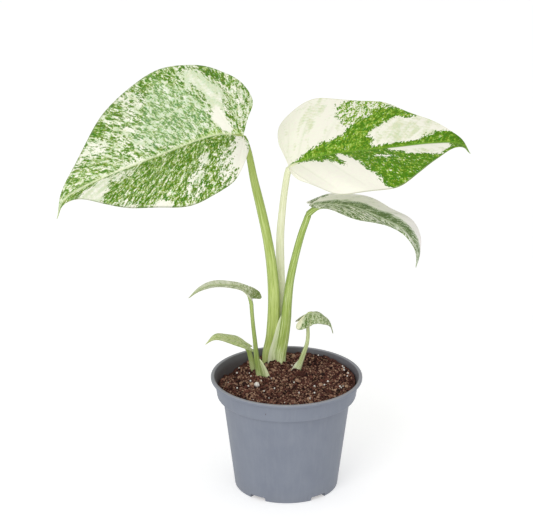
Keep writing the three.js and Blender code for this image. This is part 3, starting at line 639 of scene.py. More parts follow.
def bladeHalf(spec, midrib, hand):
    # Both faces of half a blade, and what its points tell the leaf's paint
    half = spec["halves"][0 if hand > 0 else 1]
    scale, small = spec.get("scale", 1), spec.get("small", False)
    coarser = 2 if small else 1
    outs = np.linspace(0, 1, blade["columns"] // coarser) ** blade["crowding"]
    around, outward = np.meshgrid(np.linspace(0, 1, blade["rows"] // coarser), outs, indexing="ij")
    middle, face, along, out, share = bladeSheet(spec, half, midrib, hand, around, outward)
    # Relief: sunken side veins with the leaf quilted up between them, a groove along the midrib
    # and a keel below it
    beat = around * blade["sideVeins"] * (blade["smallVeins"] if small else 1)
    body = smooth(outward / 0.2) * smooth((1 - outward) / 0.25) * smooth((1 - around) / 0.15)
    body = body * smooth(around / 0.1) * scale
    sideVein = np.exp(-((beat - np.round(beat)) / blade["veinWidth"]) ** 2)
    quilt = blade["quilting"] * np.sin(np.pi * beat) ** 2 * body - blade["veinDepth"] * sideVein * body
    groove = blade["grooveDepth"] * scale * np.exp(-(out / blade["grooveWidth"]) ** 2)
    groove = groove * smooth((1 - share) / 0.2) * smooth(along / 4)
    keel = spec["keel"] * (1 - share) ** blade["keelTaper"] * np.exp(-(out / blade["keelWidth"]) ** 2)
    keel = keel * smooth((along + 2.5) / 3)
    depth = mix(blade["thickness"], blade["edgeThickness"], outward ** 3) / 2
    depth = depth * smooth((1.02 - share) / 0.06 + 0.3)
    upper = middle + face * (depth + quilt - groove)[..., None]
    lower = middle + face * (quilt - depth - keel)[..., None]
    # Places for the markings, in millimetres over the flat leaf, and the way the side veins run there
    flat = np.stack([along, out * hand, np.zeros_like(out)], -1)
    steps = np.diff(flat, axis=1)
    steps = np.concatenate([steps[:, :1], steps], axis=1)
    way = steps / np.maximum(np.linalg.norm(steps, axis=2, keepdims=True), 1e-6)
    midribTint = np.exp(-(out / (blade["midribTint"] * scale)) ** 2) * smooth((along + 1) / 2)
    sideTint = blade["veinTint"] * sideVein * body * (1 - outward)
    return upper, lower, {
        "veinWay": way, "flatPlace": flat, **markShares(half, around, outward, spec["blur"]),
        "vein": np.maximum(midribTint, sideTint), "rim": smooth((outward - blade["rimFrom"]) / 0.02)}


def makeBlade(name, spec):
    midrib = Line(spec["midrib"])
    points, faces, layers = [], [], {}
    first = 0
    for hand in (1, -1):
        upper, lower, fields = bladeHalf(spec, midrib, hand)
        rows, columns = upper.shape[:2]
        size = rows * columns
        rims = np.arange(rows - 1) * columns + columns - 1 + first
        wall = np.stack([rims, rims + columns, rims + columns + size, rims + size], -1)
        below = gridFaces(rows, columns, first + size)[:, ::-1]
        half = np.vstack([gridFaces(rows, columns, first), wall, below])
        faces.append(half[:, ::-1] if hand > 0 else half)
        points += [upper.reshape(-1, 3), lower.reshape(-1, 3)]
        for key, values in fields.items():
            layers.setdefault(key, []).extend([values.reshape(size, *values.shape[2:])] * 2)
        layers.setdefault("under", []).extend([np.zeros(size), np.ones(size)])
        first += 2 * size
    attributes = {key: np.concatenate(values) for key, values in layers.items()}
    piece = makePiece(name, np.vstack(points), np.vstack(faces), attributes, leafPaint(name, spec))
    settle(piece, cadName(name))


for name, spec in (("leftBlade", leftBlade), ("upperBlade", upperBlade), ("rightBlade", rightBlade),
                   ("tallShootBlade", tallShootBlade), ("shortShootBlade", shortShootBlade),
                   ("rightShootBlade", rightShootBlade)):
    makeBlade(name, spec)
print("blades made")


# Petioles: grooved stalks, some with a thin sheath wing along the foot

stalk = {
    # paintedLightReach is how far up each stalk its painted light runs, as a share of its length.
    "sides": 36, "step": 1.3, "ribs": 11, "ribHeight": 0.015, "paintedLightReach": 0.6,
    "streakRadius": 4, "streakPitch": 0.022,  # where its paint reads the noise, round it and along it
    "bends": [(1.6, 0.45, 0.9), (4, 0.35, 0.4)],  # reach under the midrib, drop and radius, in tip radii
    "sheathSteps": 44, "sheathPoints": 12, "sheathEdge": 0.22, "sheathBend": 0.9, "sheathRipple": 0.25,
}
# Each stalk's low tone is a painted light: paintedLowLight lightens the lower part towards it, against the
# shade that the leaves above cast there.
leftPetiole = {
    "slot": "petiole_green", "leaf": leftBlade,
    "path": [[-14.5, 35.5, 83.5], [-14.5, 35.5, 96], [-11.5, 33, 114], [-10, 29, 143.5],
             [-11.5, 24.5, 172.5], [-15, 20, 199.5], [-20, 15.5, 226], [-25.5, 11, 252],
             [-29.5, 7, 275], [-33.5, 5, 290]],
    "radii": [4.8, 4.8, 4.9, 4.7, 4.2, 3.7, 3.6, 3.3, 2.7, 2.3], "groove": 0.14,
    "tones": {"light": (182, 198, 116), "green": (156, 176, 82), "deep": (124, 147, 52),
              "pale": (214, 225, 164), "low": (208, 226, 130)},
    "streaks": 0.42, "paleFoot": 0.3, "paintedLowLight": 0.75,
}
rightPetiole = {
    "slot": "petiole_green", "leaf": rightBlade,
    "path": [[-4.5, 30.5, 83.5], [-4.5, 30.5, 97], [-2.5, 30, 110], [-0.5, 29, 127], [0.5, 28, 141.5],
             [2.5, 26.5, 161.5], [6.5, 25, 182.5], [11.5, 23.5, 203], [16.5, 22.5, 218.5], [19, 22, 228]],
    "radii": [4.3, 4.3, 4.2, 4, 3.6, 3.2, 3, 2.8, 2.6, 2.4], "groove": 0.12,
    "sheath": {"from": 0, "to": 0.41, "width": 10.5, "heading": [-1, -0.22, 0], "thickness": 1.2},
    "tones": {"light": (170, 190, 100), "green": (138, 162, 66), "deep": (108, 136, 42),
              "pale": (236, 243, 206), "low": (196, 216, 118)},
    "streaks": 0.4, "paleFoot": 0.4, "paintedLowLight": 0.75, "sag": 2.8, "early": 6,
}
upperPetiole = {
    "slot": "petiole_cream", "leaf": upperBlade,
    "path": [[-6.5, 39.5, 83.5], [-6.5, 39.5, 97], [-4, 38, 112], [-3, 37, 131], [-4, 36, 151],
             [-5, 34.5, 175.5], [-5, 33, 199.5], [-3, 31, 225.5], [-0.5, 29, 246], [1.5, 28, 257]],
    "radii": [3.2, 3.2, 3.2, 3.2, 3.2, 3.3, 3.1, 2.8, 2.6, 2.5], "groove": 0.14,
    "tones": {"light": (236, 237, 205), "green": (228, 230, 190), "deep": (208, 214, 160),
              "pale": (245, 245, 222), "low": (254, 253, 230)},
    "streaks": 0.5, "paleFoot": 0.2, "paintedLowLight": 0.95, "paintedLightReach": 1.1,
}
tallShootPetiole = {
    "slot": "shoot_green", "leaf": tallShootBlade,
    "path": [[-19.5, 10.5, 74], [-21, 10, 86], [-23.5, 9.5, 101.5], [-25, 9, 117.5], [-26.5, 9, 132],
             [-27.5, 9, 144], [-28, 9, 152.4]],
    "radii": [3, 2.9, 2.3, 1.8, 1.6, 1.5, 1.6], "groove": 0.1,
    "sheath": {"from": 0, "to": 0.36, "width": 9.5, "heading": [1, -0.1, 0], "thickness": 1},
    "tones": {"light": (166, 184, 106), "green": (136, 158, 74), "deep": (92, 118, 36),
              "pale": (222, 230, 184), "low": (166, 184, 106)},
    "streaks": 0.34, "paleFoot": 0.5, "paintedLowLight": 0.2,
}
shortShootPetiole = {
    "slot": "shoot_green", "leaf": shortShootBlade,
    "path": [[-25, 26.5, 76], [-26.5, 26, 86], [-28.5, 25, 97], [-30.5, 24, 105.5]],
    "radii": [2.4, 2.3, 2.1, 1.8], "groove": 0.1,
    "tones": {"light": (184, 200, 122), "green": (156, 177, 88), "deep": (124, 146, 62),
              "pale": (212, 221, 170), "low": (184, 200, 122)},
    "streaks": 0.35, "paleFoot": 0.6, "paintedLowLight": 0.2,
}
rightShootPetiole = {
    "slot": "shoot_green", "leaf": rightShootBlade,
    "path": [[7.5, 18.5, 74], [8.5, 18, 86], [10.5, 17.5, 94], [13.5, 17, 103.5], [16.5, 17, 114],
             [17, 17, 124.5], [15.6, 17, 135.6]],
    "radii": [2.7, 2.6, 2.2, 1.8, 1.5, 1.4, 1.5], "groove": 0.1,
    "sheath": {"from": 0, "to": 0.44, "width": 6.5, "heading": [-1, -0.1, 0], "thickness": 1},
    "tones": {"light": (218, 227, 170), "green": (184, 200, 126), "deep": (118, 144, 60),
              "pale": (238, 243, 214), "low": (194, 210, 134)},
    "streaks": 0.48, "paleFoot": 0.4, "paintedLowLight": 0.4,
}


def stalkPaint(name, spec):
    tones = colours(spec)
    paint = Paint(name, 0.3)
    place = paint.place("streakPlace")
    broad = paint.noise(place, 0.45, 3.0, 0.6)
    thin = paint.noise(place, 2.2, 3.0, 0.7)
    pores = paint.noise(paint.objectPlace(), 1.4, 2.0, 0.6)
    whitish = (1 - thin + paint.amount("foot") * 0.3).above(0.8 - spec["streaks"] * 0.5, 0.14)
    # The low layer is painted light, lightening the lower stalk where the leaves above shade it.
    shade = paint.layered(
        tones["green"], (broad.above(0.52, 0.22), tones["light"]),
        (paint.amount("low") * spec["paintedLowLight"], tones["low"]),
        (thin.above(0.55, 0.14) * 0.6, tones["deep"]), (paint.amount("flank") * 0.6, tones["deep"]),
        (whitish * 0.65, tones["pale"]), (paint.amount("edge"), tones["pale"]))
    return paint.finish(shade, 0.4 + pores * 0.14, thin * 0.7 + pores * 0.3, 0.25, 0.6)


def framesAlong(headings, start):
    # Directions across a path that turn as little as they can from ring to ring
    frames = [unit(start - headings[0] * np.dot(start, headings[0]))]
    for heading in headings[1:]:
        frames.append(unit(frames[-1] - heading * np.dot(frames[-1], heading)))
    return np.array(frames)


def closedShell(rings, first, last, spot, fields):
    # Rings with a point at either end, and what they tell the stalk's paint, given along or round them
    ends = [np.broadcast_to(end, rings[:1].shape) for end in (first, last)]
    shell = np.concatenate([ends[0], rings, ends[1]])
    shape = shell.shape[:2]
    place = np.stack([np.broadcast_to(part, shape) for part in spot], -1)
    return shell, {"streakPlace": place,
                   **{key: np.broadcast_to(part, shape) for key, part in fields.items()}}


def stalkTube(spec):
    line = Line(spec["path"])
    rib = Line(spec["leaf"]["midrib"])
    tip = spec["radii"][-1]
    # The stalk bends on under the midrib for a little way and runs out there
    sag, early = tip * spec.get("sag", 1), spec.get("early", 2)
    below = [rib.at(np.array([tip * reach / rib.length]))[0] - up * (sag * drop)
             for reach, drop, _ in stalk["bends"]]
    count = int(line.length / stalk["step"])
    share = np.linspace(0, 1, count)
    centres = np.vstack([line.at(share)[:-early], below])
    radii = np.interp(share, np.linspace(0, 1, len(spec["radii"])), spec["radii"])[:-early]
    radii = np.concatenate([radii, [tip * thin for _, _, thin in stalk["bends"]]])
    path = Line(centres)
    share = np.linspace(0, 1, count + 12)
    knots = reachesAlong(centres)
    radius = np.interp(share * knots[-1], knots, radii)
    centre, heading = path.at(share), path.heading(share)
    across = framesAlong(heading, np.array([1.0, 0, 0]))
    back = np.cross(heading, across)
    angle = np.linspace(0, 2 * np.pi, stalk["sides"], endpoint=False)
    groove = spec["groove"] * np.maximum(0, np.sin(angle)) ** 8
    profile = 1 - groove + stalk["ribHeight"] * np.cos(stalk["ribs"] * angle)
    ring = across[:, None] * np.cos(angle)[None, :, None] - back[:, None] * np.sin(angle)[None, :, None]
    tube = centre[:, None] + ring * (radius[:, None] * profile)[..., None]
    reach = (np.concatenate([[0], share, [1]]) * path.length)[:, None]
    girth, pitch = stalk["streakRadius"], stalk["streakPitch"]
    # low is 1 at the foot and fades up the stalk: it places the painted light there.
    return closedShell(tube, centre[0], centre[-1], (
        girth * np.cos(angle), girth * np.sin(angle), reach * pitch), {
        "flank": smooth((np.abs(np.cos(angle)) - 0.72) / 0.28),
        "foot": spec["paleFoot"] * smooth((34 - reach) / 26), "edge": 0,
        "low": smooth(1 - reach / path.length / spec.get("paintedLightReach", stalk["paintedLightReach"]))})


def sheathWing(spec):
    # A thin sheet from the stalk, widest at the soil, curved round and running out at its top
    wing = spec["sheath"]
    share = np.linspace(0, 1, stalk["sheathSteps"])
    line = curveThrough(spec["path"], mix(wing["from"], wing["to"], share))
    heading = unit(np.array(wing["heading"], float))
    normal = unit(np.cross(heading, up))
    reach = np.maximum(wing["thickness"], wing["width"] * np.sqrt(1 - share ** 2))
    outs = np.linspace(0, 1, stalk["sheathPoints"])
    half = mix(wing["thickness"] * 0.8, stalk["sheathEdge"], outs ** 0.7)
    bend = stalk["sheathBend"] * np.sin(outs * math.pi * 0.75) ** 2
    out = np.concatenate([outs, outs[::-1]])
    side = np.concatenate([half + bend, (bend - half)[::-1]])
    ripple = stalk["sheathRipple"] * np.sin(share * 17)[:, None] * out[None] ** 2
    sheet = line[:, None] + heading * (reach[:, None] * out[None])[..., None]
    sheet = sheet + normal * (side[None] * (reach / wing["width"])[:, None] + ripple)[..., None]
    rise = np.concatenate([[0], share, [1]])[:, None]
    # The whole wing takes the painted light of the low tone.
    return closedShell(sheet, sheet[0].mean(axis=0), sheet[-1].mean(axis=0), (
        out * 3.5, side * 0.4 + 8, rise * 1.2), {
        "flank": 0, "foot": 0.3, "edge": 0.28 + smooth((out - 0.5) / 0.4) * 0.65, "low": 1})


def makePetiole(name, spec):
    points, faces, layers = [], [], {}
    first = 0
    for shell, fields in [stalkTube(spec)] + ([sheathWing(spec)] if "sheath" in spec else []):
        rows, columns = shell.shape[:2]
        quads = gridFaces(rows, columns, first, closed=True)
        # The rings' own direction decides which way the faces must run to point outwards
        corners = shell.reshape(-1, 3)
        a, b, c, d = (corners[quads[:, k] - first] for k in range(4))
        volume = sum(np.einsum("ij,ij->i", a, np.cross(*pair)).sum() for pair in ((b, c), (c, d)))
        faces.append(quads if volume > 0 else quads[:, ::-1])
        points.append(corners)
        for key, values in fields.items():
            layers.setdefault(key, []).append(values.reshape(rows * columns, *values.shape[2:]))
        first += rows * columns
    attributes = {key: np.concatenate(values) for key, values in layers.items()}
    piece = makePiece(name, np.vstack(points), np.vstack(faces), attributes, stalkPaint(name, spec))
    settle(piece, cadName(name))


for name, spec in (("leftPetiole", leftPetiole), ("rightPetiole", rightPetiole),
                   ("upperPetiole", upperPetiole), ("tallShootPetiole", tallShootPetiole),
                   ("shortShootPetiole", shortShootPetiole), ("rightShootPetiole", rightShootPetiole)):
    makePetiole(name, spec)
print("petioles made")


# Pot

pot = {
    "height": 93, "footRadius": 41, "shoulderRadius": 50.5,
    "collarHeight": 16.5, "collarFootRadius": 55, "collarTopRadius": 57,
    "lipRadius": 60, "lipHeight": 2.5, "lipWidth": 2.6, "wall": 1.3, "floor": 2, "segments": 192,
    "notches": 5, "notchWidth": 14, "notchHeight": 3.2, "notchDepth": 7, "firstAngle": -124,
    "cornerSteps": 5, "sharpAngle": 40,
    "tones": {"dim": (112, 118, 131), "lit": (121, 127, 139), "streak": (130, 135, 144),
              # rubbed is a painted highlight, lighter along the top of the lip.
              "lipHighlight": (158, 157, 161), "speck": (96, 101, 112), "dust": (136, 133, 129),
              # damp is painted shade, darkening the inside wall.
              "damp": (92, 87, 90)},
}


def potPaint():
    tones = colours(pot)
    paint = Paint("greyPlastic", 0.35)
    place = paint.objectPlace()
    cloud = paint.noise(place, 0.05, 4.0, 0.6)
    grain = paint.noise(place, 2.2, 3.0, 0.7)
    streak = paint.noise(paint.objectPlace((1, 1, 0.08)), 0.35, 3.0, 0.6)
    height = paint.node("ShaderNodeSeparateXYZ", {}, {0: place}, output=2)
    dust = (1 - height.above(8, 14)) * grain
    # Painted shade inside the pot: the inner wall is darkened, less so near the rim.
    damp = paint.amount("inner") * (1.1 - height.above(89, 9) * 0.5)
    shade = paint.layered(
        tones["dim"], (cloud.above(0.5, 0.5), tones["lit"]),
        (streak.above(0.58, 0.2) * 0.25, tones["streak"]),
        (height.above(92.4, 0.8) * 0.6, tones["lipHighlight"]),  # the lip: a painted highlight along its top
        (grain.above(0.66, 0.08) * 0.2, tones["speck"]), (dust * 0.2, tones["dust"]),
        (damp.clamp(), tones["damp"]))
    return paint.finish(shade, 0.42 + cloud * 0.12 + grain * 0.06, grain, 0.12, 0.35)


def roundedProfile(corners):
    # Rounds each corner (radius, height, rounding) and adds a point just past each end of the arc
    spots = [np.array(corners[0][:2], float)]
    for before, here, after in zip(corners, corners[1:], corners[2:]):
        spot = np.array(here[:2], float)
        back = np.array(before[:2]) - spot
        ahead = np.array(after[:2]) - spot
        reach = min(here[2], 0.42 * np.linalg.norm(back), 0.42 * np.linalg.norm(ahead))
        start = spot + unit(back) * reach
        end = spot + unit(ahead) * reach
        spots.append(spot + unit(back) * reach * 1.15)
        for t in np.linspace(0, 1, pot["cornerSteps"]):
            spots.append((1 - t) ** 2 * start + 2 * t * (1 - t) * spot + t ** 2 * end)
        spots.append(spot + unit(ahead) * reach * 1.15)
    spots.append(np.array(corners[-1][:2], float))
    return np.array(spots)


def turned(profile, segments):
    angle = np.linspace(0, 2 * np.pi, segments, endpoint=False)
    radius, height = profile[:, 0][:, None], profile[:, 1][:, None]
    rows = np.stack([radius * np.cos(angle), radius * np.sin(angle), height + 0 * angle], -1)
    return rows.reshape(-1, 3), gridFaces(len(profile), segments, closed=True)[:, ::-1]


def notchCutter():
    # A bar with a rounded top for each notch, standing across the foot of the wall
    half, top = pot["notchWidth"] / 2, pot["notchHeight"]
    outline = [(-half, -3), (half, -3), (half, top - 1), (half - 0.3, top - 0.3), (half - 1, top),
               (1 - half, top), (0.3 - half, top - 0.3), (-half, top - 1)]
    count = len(outline)
    points, faces = [], []
    for index in range(pot["notches"]):
        angle = math.radians(pot["firstAngle"] + 360 / pot["notches"] * index)
        along = np.array([math.cos(angle), math.sin(angle), 0])
        across = np.array([-along[1], along[0], 0])
        first = len(points)
        for reach in (pot["footRadius"] - pot["notchDepth"], pot["footRadius"] + pot["notchDepth"]):
            points += [along * reach + (across * x + up * z) for x, z in outline]
        faces += [[first + k for k in range(count)], [first + 2 * count - 1 - k for k in range(count)]]
        for k in range(count):
            after = (k + 1) % count
            faces.append([first + after, first + k, first + count + k, first + count + after])
    mesh = bpy.data.meshes.new("notchCutter")
    mesh.from_pydata([(spot * mm).tolist() for spot in points], [], faces)
    form = bmesh.new()
    form.from_mesh(mesh)
    bmesh.ops.recalc_face_normals(form, faces=form.faces)
    form.to_mesh(mesh)
    form.free()
    cutter = bpy.data.objects.new("notchCutter", mesh)
    bpy.context.collection.objects.link(cutter)
    return cutter


def makePot():
    height, wall, floor = pot["height"], pot["wall"], pot["floor"]
    foot, shoulder = pot["footRadius"], pot["shoulderRadius"]
    collarFoot, collarTop, lip = pot["collarFootRadius"], pot["collarTopRadius"], pot["lipRadius"]
    step = height - pot["collarHeight"]
    under = height - pot["lipHeight"]
    outside = [(0, 0, 0), (foot, 0, 1), (shoulder, step - 1.2, 0.8), (collarFoot, step, 1.4),
               (collarTop, under - 0.4, 0.8), (lip, under, 0.9), (lip, height, 0.9)]
    inside = [(lip - pot["lipWidth"], height, 0.9), (collarTop - wall, under - wall, 1.5),
              (collarFoot - wall, step + wall, 1), (shoulder - wall, step, 1), (foot - wall, floor, 1.2),
              (0, floor, 0)]
    profile = roundedProfile(outside + inside)
    points, faces = turned(profile, pot["segments"])
    cornerPoints = pot["cornerSteps"] + 2
    # The inside wall is marked for the painted shade that darkens it.
    inner = np.arange(len(profile)) > cornerPoints * (len(outside) - 1) + 4
    attributes = {"inner": np.repeat(inner, pot["segments"])}
    piece = makePiece("nurseryPot", points, faces, attributes, potPaint())
    cutter = notchCutter()
    cut = piece.modifiers.new("notches", "BOOLEAN")
    cut.operation = "DIFFERENCE"
    cut.solver = "EXACT"
    cut.object = cutter
    applyModifiers(piece)
    bpy.data.objects.remove(cutter)
    piece.data.shade_smooth()
    piece.data.set_sharp_from_angle(angle=math.radians(pot["sharpAngle"]))
    settle(piece, "pot")


makePot()
print("pot made")


# Soil

soil = {
    "level": 87.5, "gap": 0.6, "riseRight": 2.2, "riseBack": 2.2,
    "hollow": (-43, 29, 4.5, 17), "heap": (-4, 28, 2, 22),  # where, how high and how wide
    "feet": [(-14.5, 35.5), (-4.5, 30.5), (-6.5, 39.5), (-21, 10), (-26.5, 26), (8.5, 18), (-11.5, 25)],
    "mound": (1.5, 7),  # height and width, round each stalk's foot
    "rings": 84, "segments": 220, "clods": 150, "clodRadius": (2.4, 5), "clodHeight": (0.6, 2),
    "sunk": 1.4, "relief": 1.3, "reliefScale": 0.45, "clear": 0.3, "footGap": 0.9,
    "crumbDensity": 620000, "crumbRadius": (0.35, 1.1),
    "lumpDensity": 12000, "lumpRadius": (1.2, 2.3),
    "fibreDensity": 22000, "fibreLength": (5, 12),
}


def innerRadius(height):
    step = pot["height"] - pot["collarHeight"]
    if height < step:
        share = (height - pot["floor"]) / (step - pot["floor"])
        return mix(pot["footRadius"], pot["shoulderRadius"], share) - pot["wall"]
    share = (height - step - pot["wall"]) / (pot["collarHeight"] - pot["wall"] - 0.7)
    return mix(pot["collarFootRadius"], pot["collarTopRadius"], share) - pot["wall"]


def soilHeight(x, y):
    def bell(spot):
        return np.exp(-((x - spot[0]) ** 2 + (y - spot[1]) ** 2) / spot[3] ** 2)
    height = soil["level"] + (soil["riseRight"] * x + soil["riseBack"] * y) / pot["collarFootRadius"]
    for foot in soil["feet"]:
        height = height + soil["mound"][0] * bell((*foot, 0, soil["mound"][1]))
    return height + soil["heap"][2] * bell(soil["heap"]) - soil["hollow"][2] * bell(soil["hollow"])


def soilPaint(name, tones, tinted=False):
    paint = Paint(name, 0.25)
    place = paint.objectPlace()
    grains = paint.noise(place, 1.3, 4.0, 0.75)
    if tinted:  # each crumb has its own tint
        tint = paint.amount("tint") * 0.75 + grains * 0.5 - 0.12
    else:
        tint = grains * 0.9 + paint.noise(place, 0.35, 3.0, 0.6) * 0.5 - 0.2
    stops = [(spot, colour(*tone)) for spot, tone in zip((0.25, 0.45, 0.62, 0.8), tones)]
    shade = paint.node("ShaderNodeValToRGB", {"stops": stops}, {0: tint})
    height = grains * 0.6 + paint.cells(place, 0.9) * 0.4
    return paint.finish(shade, 0.84 + grains * 0.12, height, 0.8, 0.9)


def makeSoil():
    random = np.random.default_rng(7)
    reach = innerRadius(soil["level"]) - soil["gap"]
    radius = reach * np.linspace(1, 0, soil["rings"])
    angle = np.linspace(0, 2 * np.pi, soil["segments"], endpoint=False)
    x, y = radius[:, None] * np.cos(angle), radius[:, None] * np.sin(angle)
    clods = np.zeros_like(x)
    for _ in range(soil["clods"]):
        far, turn = reach * math.sqrt(random.random()), random.random() * 2 * math.pi
        size = random.uniform(*soil["clodRadius"])
        spot = 1 - ((x - far * math.cos(turn)) ** 2 + (y - far * math.sin(turn)) ** 2) / size ** 2
        clods = np.maximum(clods, random.uniform(*soil["clodHeight"]) * np.sqrt(np.maximum(spot, 0)))
    flat = np.stack([x.ravel(), y.ravel(), 0 * x.ravel()], -1)
    rough = roughness3d(flat, soil["reliefScale"], 4).reshape(x.shape)
    height = soilHeight(x, y) + clods - soil["sunk"]
    height = height + soil["relief"] * rough * smooth(radius / 3 + 0.1)[:, None]
    height[-1] = height[-1].mean()
    top = np.stack([x, y, height], -1)
    # Below the top: a ring over the pot's ledge, one under it and one on its floor, and their centre
    step = pot["height"] - pot["collarHeight"]
    low, ledge = pot["floor"] + soil["clear"], step + pot["wall"] + soil["gap"]
    narrow = pot["shoulderRadius"] - pot["wall"] - soil["gap"]
    below = [(innerRadius(low) - soil["footGap"], low), (narrow, step + soil["clear"]),
             (innerRadius(ledge) - soil["gap"], ledge)]
    rings = [np.stack([wide * np.cos(angle), wide * np.sin(angle), z + 0 * angle], -1)[None]
             for wide, z in below]
    centre = np.zeros((1, len(angle), 3)) + [0, 0, low]
    body = np.concatenate([centre, *rings, top])
    paint = soilPaint("peat", ((38, 17, 13), (70, 39, 32), (100, 61, 51), (136, 102, 84)))
    faces = gridFaces(len(body), len(angle), closed=True)
    settle(makePiece("soilBed", body.reshape(-1, 3), faces, {}, paint), "soil")
    inner = top[4:]  # clear of the pot's wall
    faces = gridFaces(len(inner), len(angle), closed=True)
    return makePiece("soilTop", inner.reshape(-1, 3), faces, {}, paint)


class Shaper(Tree):  # a geometry tree with named inputs, used as a modifier
    def __init__(self, name, inputs):
        super().__init__(bpy.data.node_groups.new(name, "GeometryNodeTree"))
        face = self.tree.interface
        for way in ("OUTPUT", "INPUT"):
            face.new_socket("Geometry", in_out=way, socket_type="NodeSocketGeometry")
        self.keys = {}
        for key, kind in inputs.items():
            socket = face.new_socket(key, in_out="INPUT", socket_type="NodeSocket" + kind)
            self.keys[key] = socket.identifier
        self.entry = self.tree.nodes.new("NodeGroupInput")
        self.exit = self.tree.nodes.new("NodeGroupOutput")

    def input(self, key):
        return Wire(self, self.entry.outputs[key])

    def vary(self, low, high, seed, vector=False):
        kind, places = ("FLOAT_VECTOR", (0, 1)) if vector else ("FLOAT", (2, 3))
        values = {places[0]: low, places[1]: high, "Seed": seed}
        return self.node("FunctionNodeRandomValue", {"data_type": kind}, values, output=0 if vector else 1)

    def rippled(self, shape, index, scale, detail, centre, reach):  # pushes its points about by a noise
        spot = self.node("GeometryNodeInputPosition")
        values = {"Vector": spot, "W": index, "Scale": scale, "Detail": detail}
        ripple = self.node("ShaderNodeTexNoise", {"noise_dimensions": "4D"}, values, output=1)
        shift = self.vector("SCALE", {0: self.vector("SUBTRACT", {0: ripple, 1: centre}), "Scale": reach})
        return self.node("GeometryNodeSetPosition", {}, {"Geometry": shape, "Offset": shift})

    def apply(self, source, name, values):
        piece = source.copy()
        piece.data = source.data.copy()
        piece.name = name
        bpy.context.collection.objects.link(piece)
        modifier = piece.modifiers.new("scatter", "NODES")
        modifier.node_group = self.tree
        for key, value in values.items():
            modifier[self.keys[key]] = value
        applyModifiers(piece)
        return piece


def scatterTree(name, makeVariant, flatness, tumble):
    inputs = {"Density": "Float", "Smallest": "Float", "Largest": "Float", "Seed": "Int",
              "Finish": "Material"}
    shaper = Shaper(name, inputs)
    spots = shaper.node("GeometryNodeDistributePointsOnFaces", {"distribute_method": "RANDOM"},
                        {"Mesh": shaper.input("Geometry"), "Density": shaper.input("Density"),
                         "Seed": shaper.input("Seed")})
    kinds = shaper.tree.nodes.new("GeometryNodeGeometryToInstance")
    for index in range(4):
        shaper.tree.links.new(makeVariant(shaper, index).socket, kinds.inputs[0])
    spots = shaper.node("GeometryNodeStoreNamedAttribute", {"data_type": "FLOAT", "domain": "POINT"},
                        {"Geometry": spots, "Name": "tint", "Value": shaper.vary(0.0, 1.0, 21)})
    size = shaper.vary(shaper.input("Smallest"), shaper.input("Largest"), 3)
    squash = shaper.vary((0.7, 0.7, flatness * 0.7), (1.25, 1.25, flatness * 1.25), 5, vector=True)
    turn = shaper.vary((-tumble, -tumble, 0), (tumble, tumble, 6.283), 9, vector=True)
    pick = shaper.node("FunctionNodeRandomValue", {"data_type": "INT"}, {4: 0, 5: 3, "Seed": 11}, output=2)
    placed = shaper.node("GeometryNodeInstanceOnPoints", {}, {
        "Points": spots, "Instance": Wire(shaper, kinds.outputs[0]), "Pick Instance": True,
        "Instance Index": pick, "Rotation": turn,
        "Scale": shaper.vector("SCALE", {0: squash, "Scale": size})})
    whole = shaper.node("GeometryNodeRealizeInstances", {}, {"Geometry": placed})
    dressed = shaper.node("GeometryNodeSetMaterial", {},
                          {"Geometry": whole, "Material": shaper.input("Finish")})
    shaper.feed(shaper.exit.inputs[0], dressed)
    return shaper


def clodShape(detail, roughness):
    def make(shaper, index):  # a knobbly grain about one unit across
        ball = shaper.node("GeometryNodeMeshIcoSphere", {}, {"Radius": 1.0, "Subdivisions": detail})
        return shaper.rippled(ball, index * 7.3, 1.3, 2.0, (0.5, 0.5, 0.5), roughness)
    return make


def fibreShape(shaper, index):  # a bent strand one unit long
    line = shaper.node("GeometryNodeCurvePrimitiveLine", {}, {"Start": (-0.5, 0, 0), "End": (0.5, 0, 0)})
    line = shaper.node("GeometryNodeResampleCurve", {}, {"Curve": line, "Count": 7})
    line = shaper.rippled(line, index * 3.1, 1.7, 1.0, (0.5, 0.5, 0.4), 0.7)
    ring = shaper.node("GeometryNodeCurvePrimitiveCircle", {}, {"Resolution": 3, "Radius": 0.016})
    return shaper.node("GeometryNodeCurveToMesh", {}, {"Curve": line, "Profile Curve": ring})


def makeScatter(disc):
    dark = soilPaint("peatCrumb", ((38, 16, 12), (82, 45, 37), (118, 74, 61), (176, 142, 118)), tinted=True)
    fibre = soilPaint("peatFibre", ((74, 50, 36), (104, 76, 56), (132, 102, 78), (160, 132, 104)),
                      tinted=True)
    plans = [
        ("soilCrumbs", "crumbDensity", "crumbRadius", 3, dark,
         scatterTree("crumbScatter", clodShape(1, 0.9), 0.8, 3.1)),
        ("soilLumps", "lumpDensity", "lumpRadius", 5, dark,
         scatterTree("lumpScatter", clodShape(2, 1.1), 0.75, 3.1)),
        ("soilFibres", "fibreDensity", "fibreLength", 8, fibre,
         scatterTree("fibreScatter", fibreShape, 1.0, 0.35)),
    ]
    for name, density, sizes, seed, finish, tree in plans:
        low, high = soil[sizes]
        piece = tree.apply(disc, name, {"Density": float(soil[density]), "Smallest": low * mm,
                                        "Largest": high * mm, "Seed": seed, "Finish": finish})
        settle(piece)


disc = makeSoil()
makeScatter(disc)
bpy.data.objects.remove(disc)
print("soil made")


# White perlite grains: the ones the picture shows, then some more behind

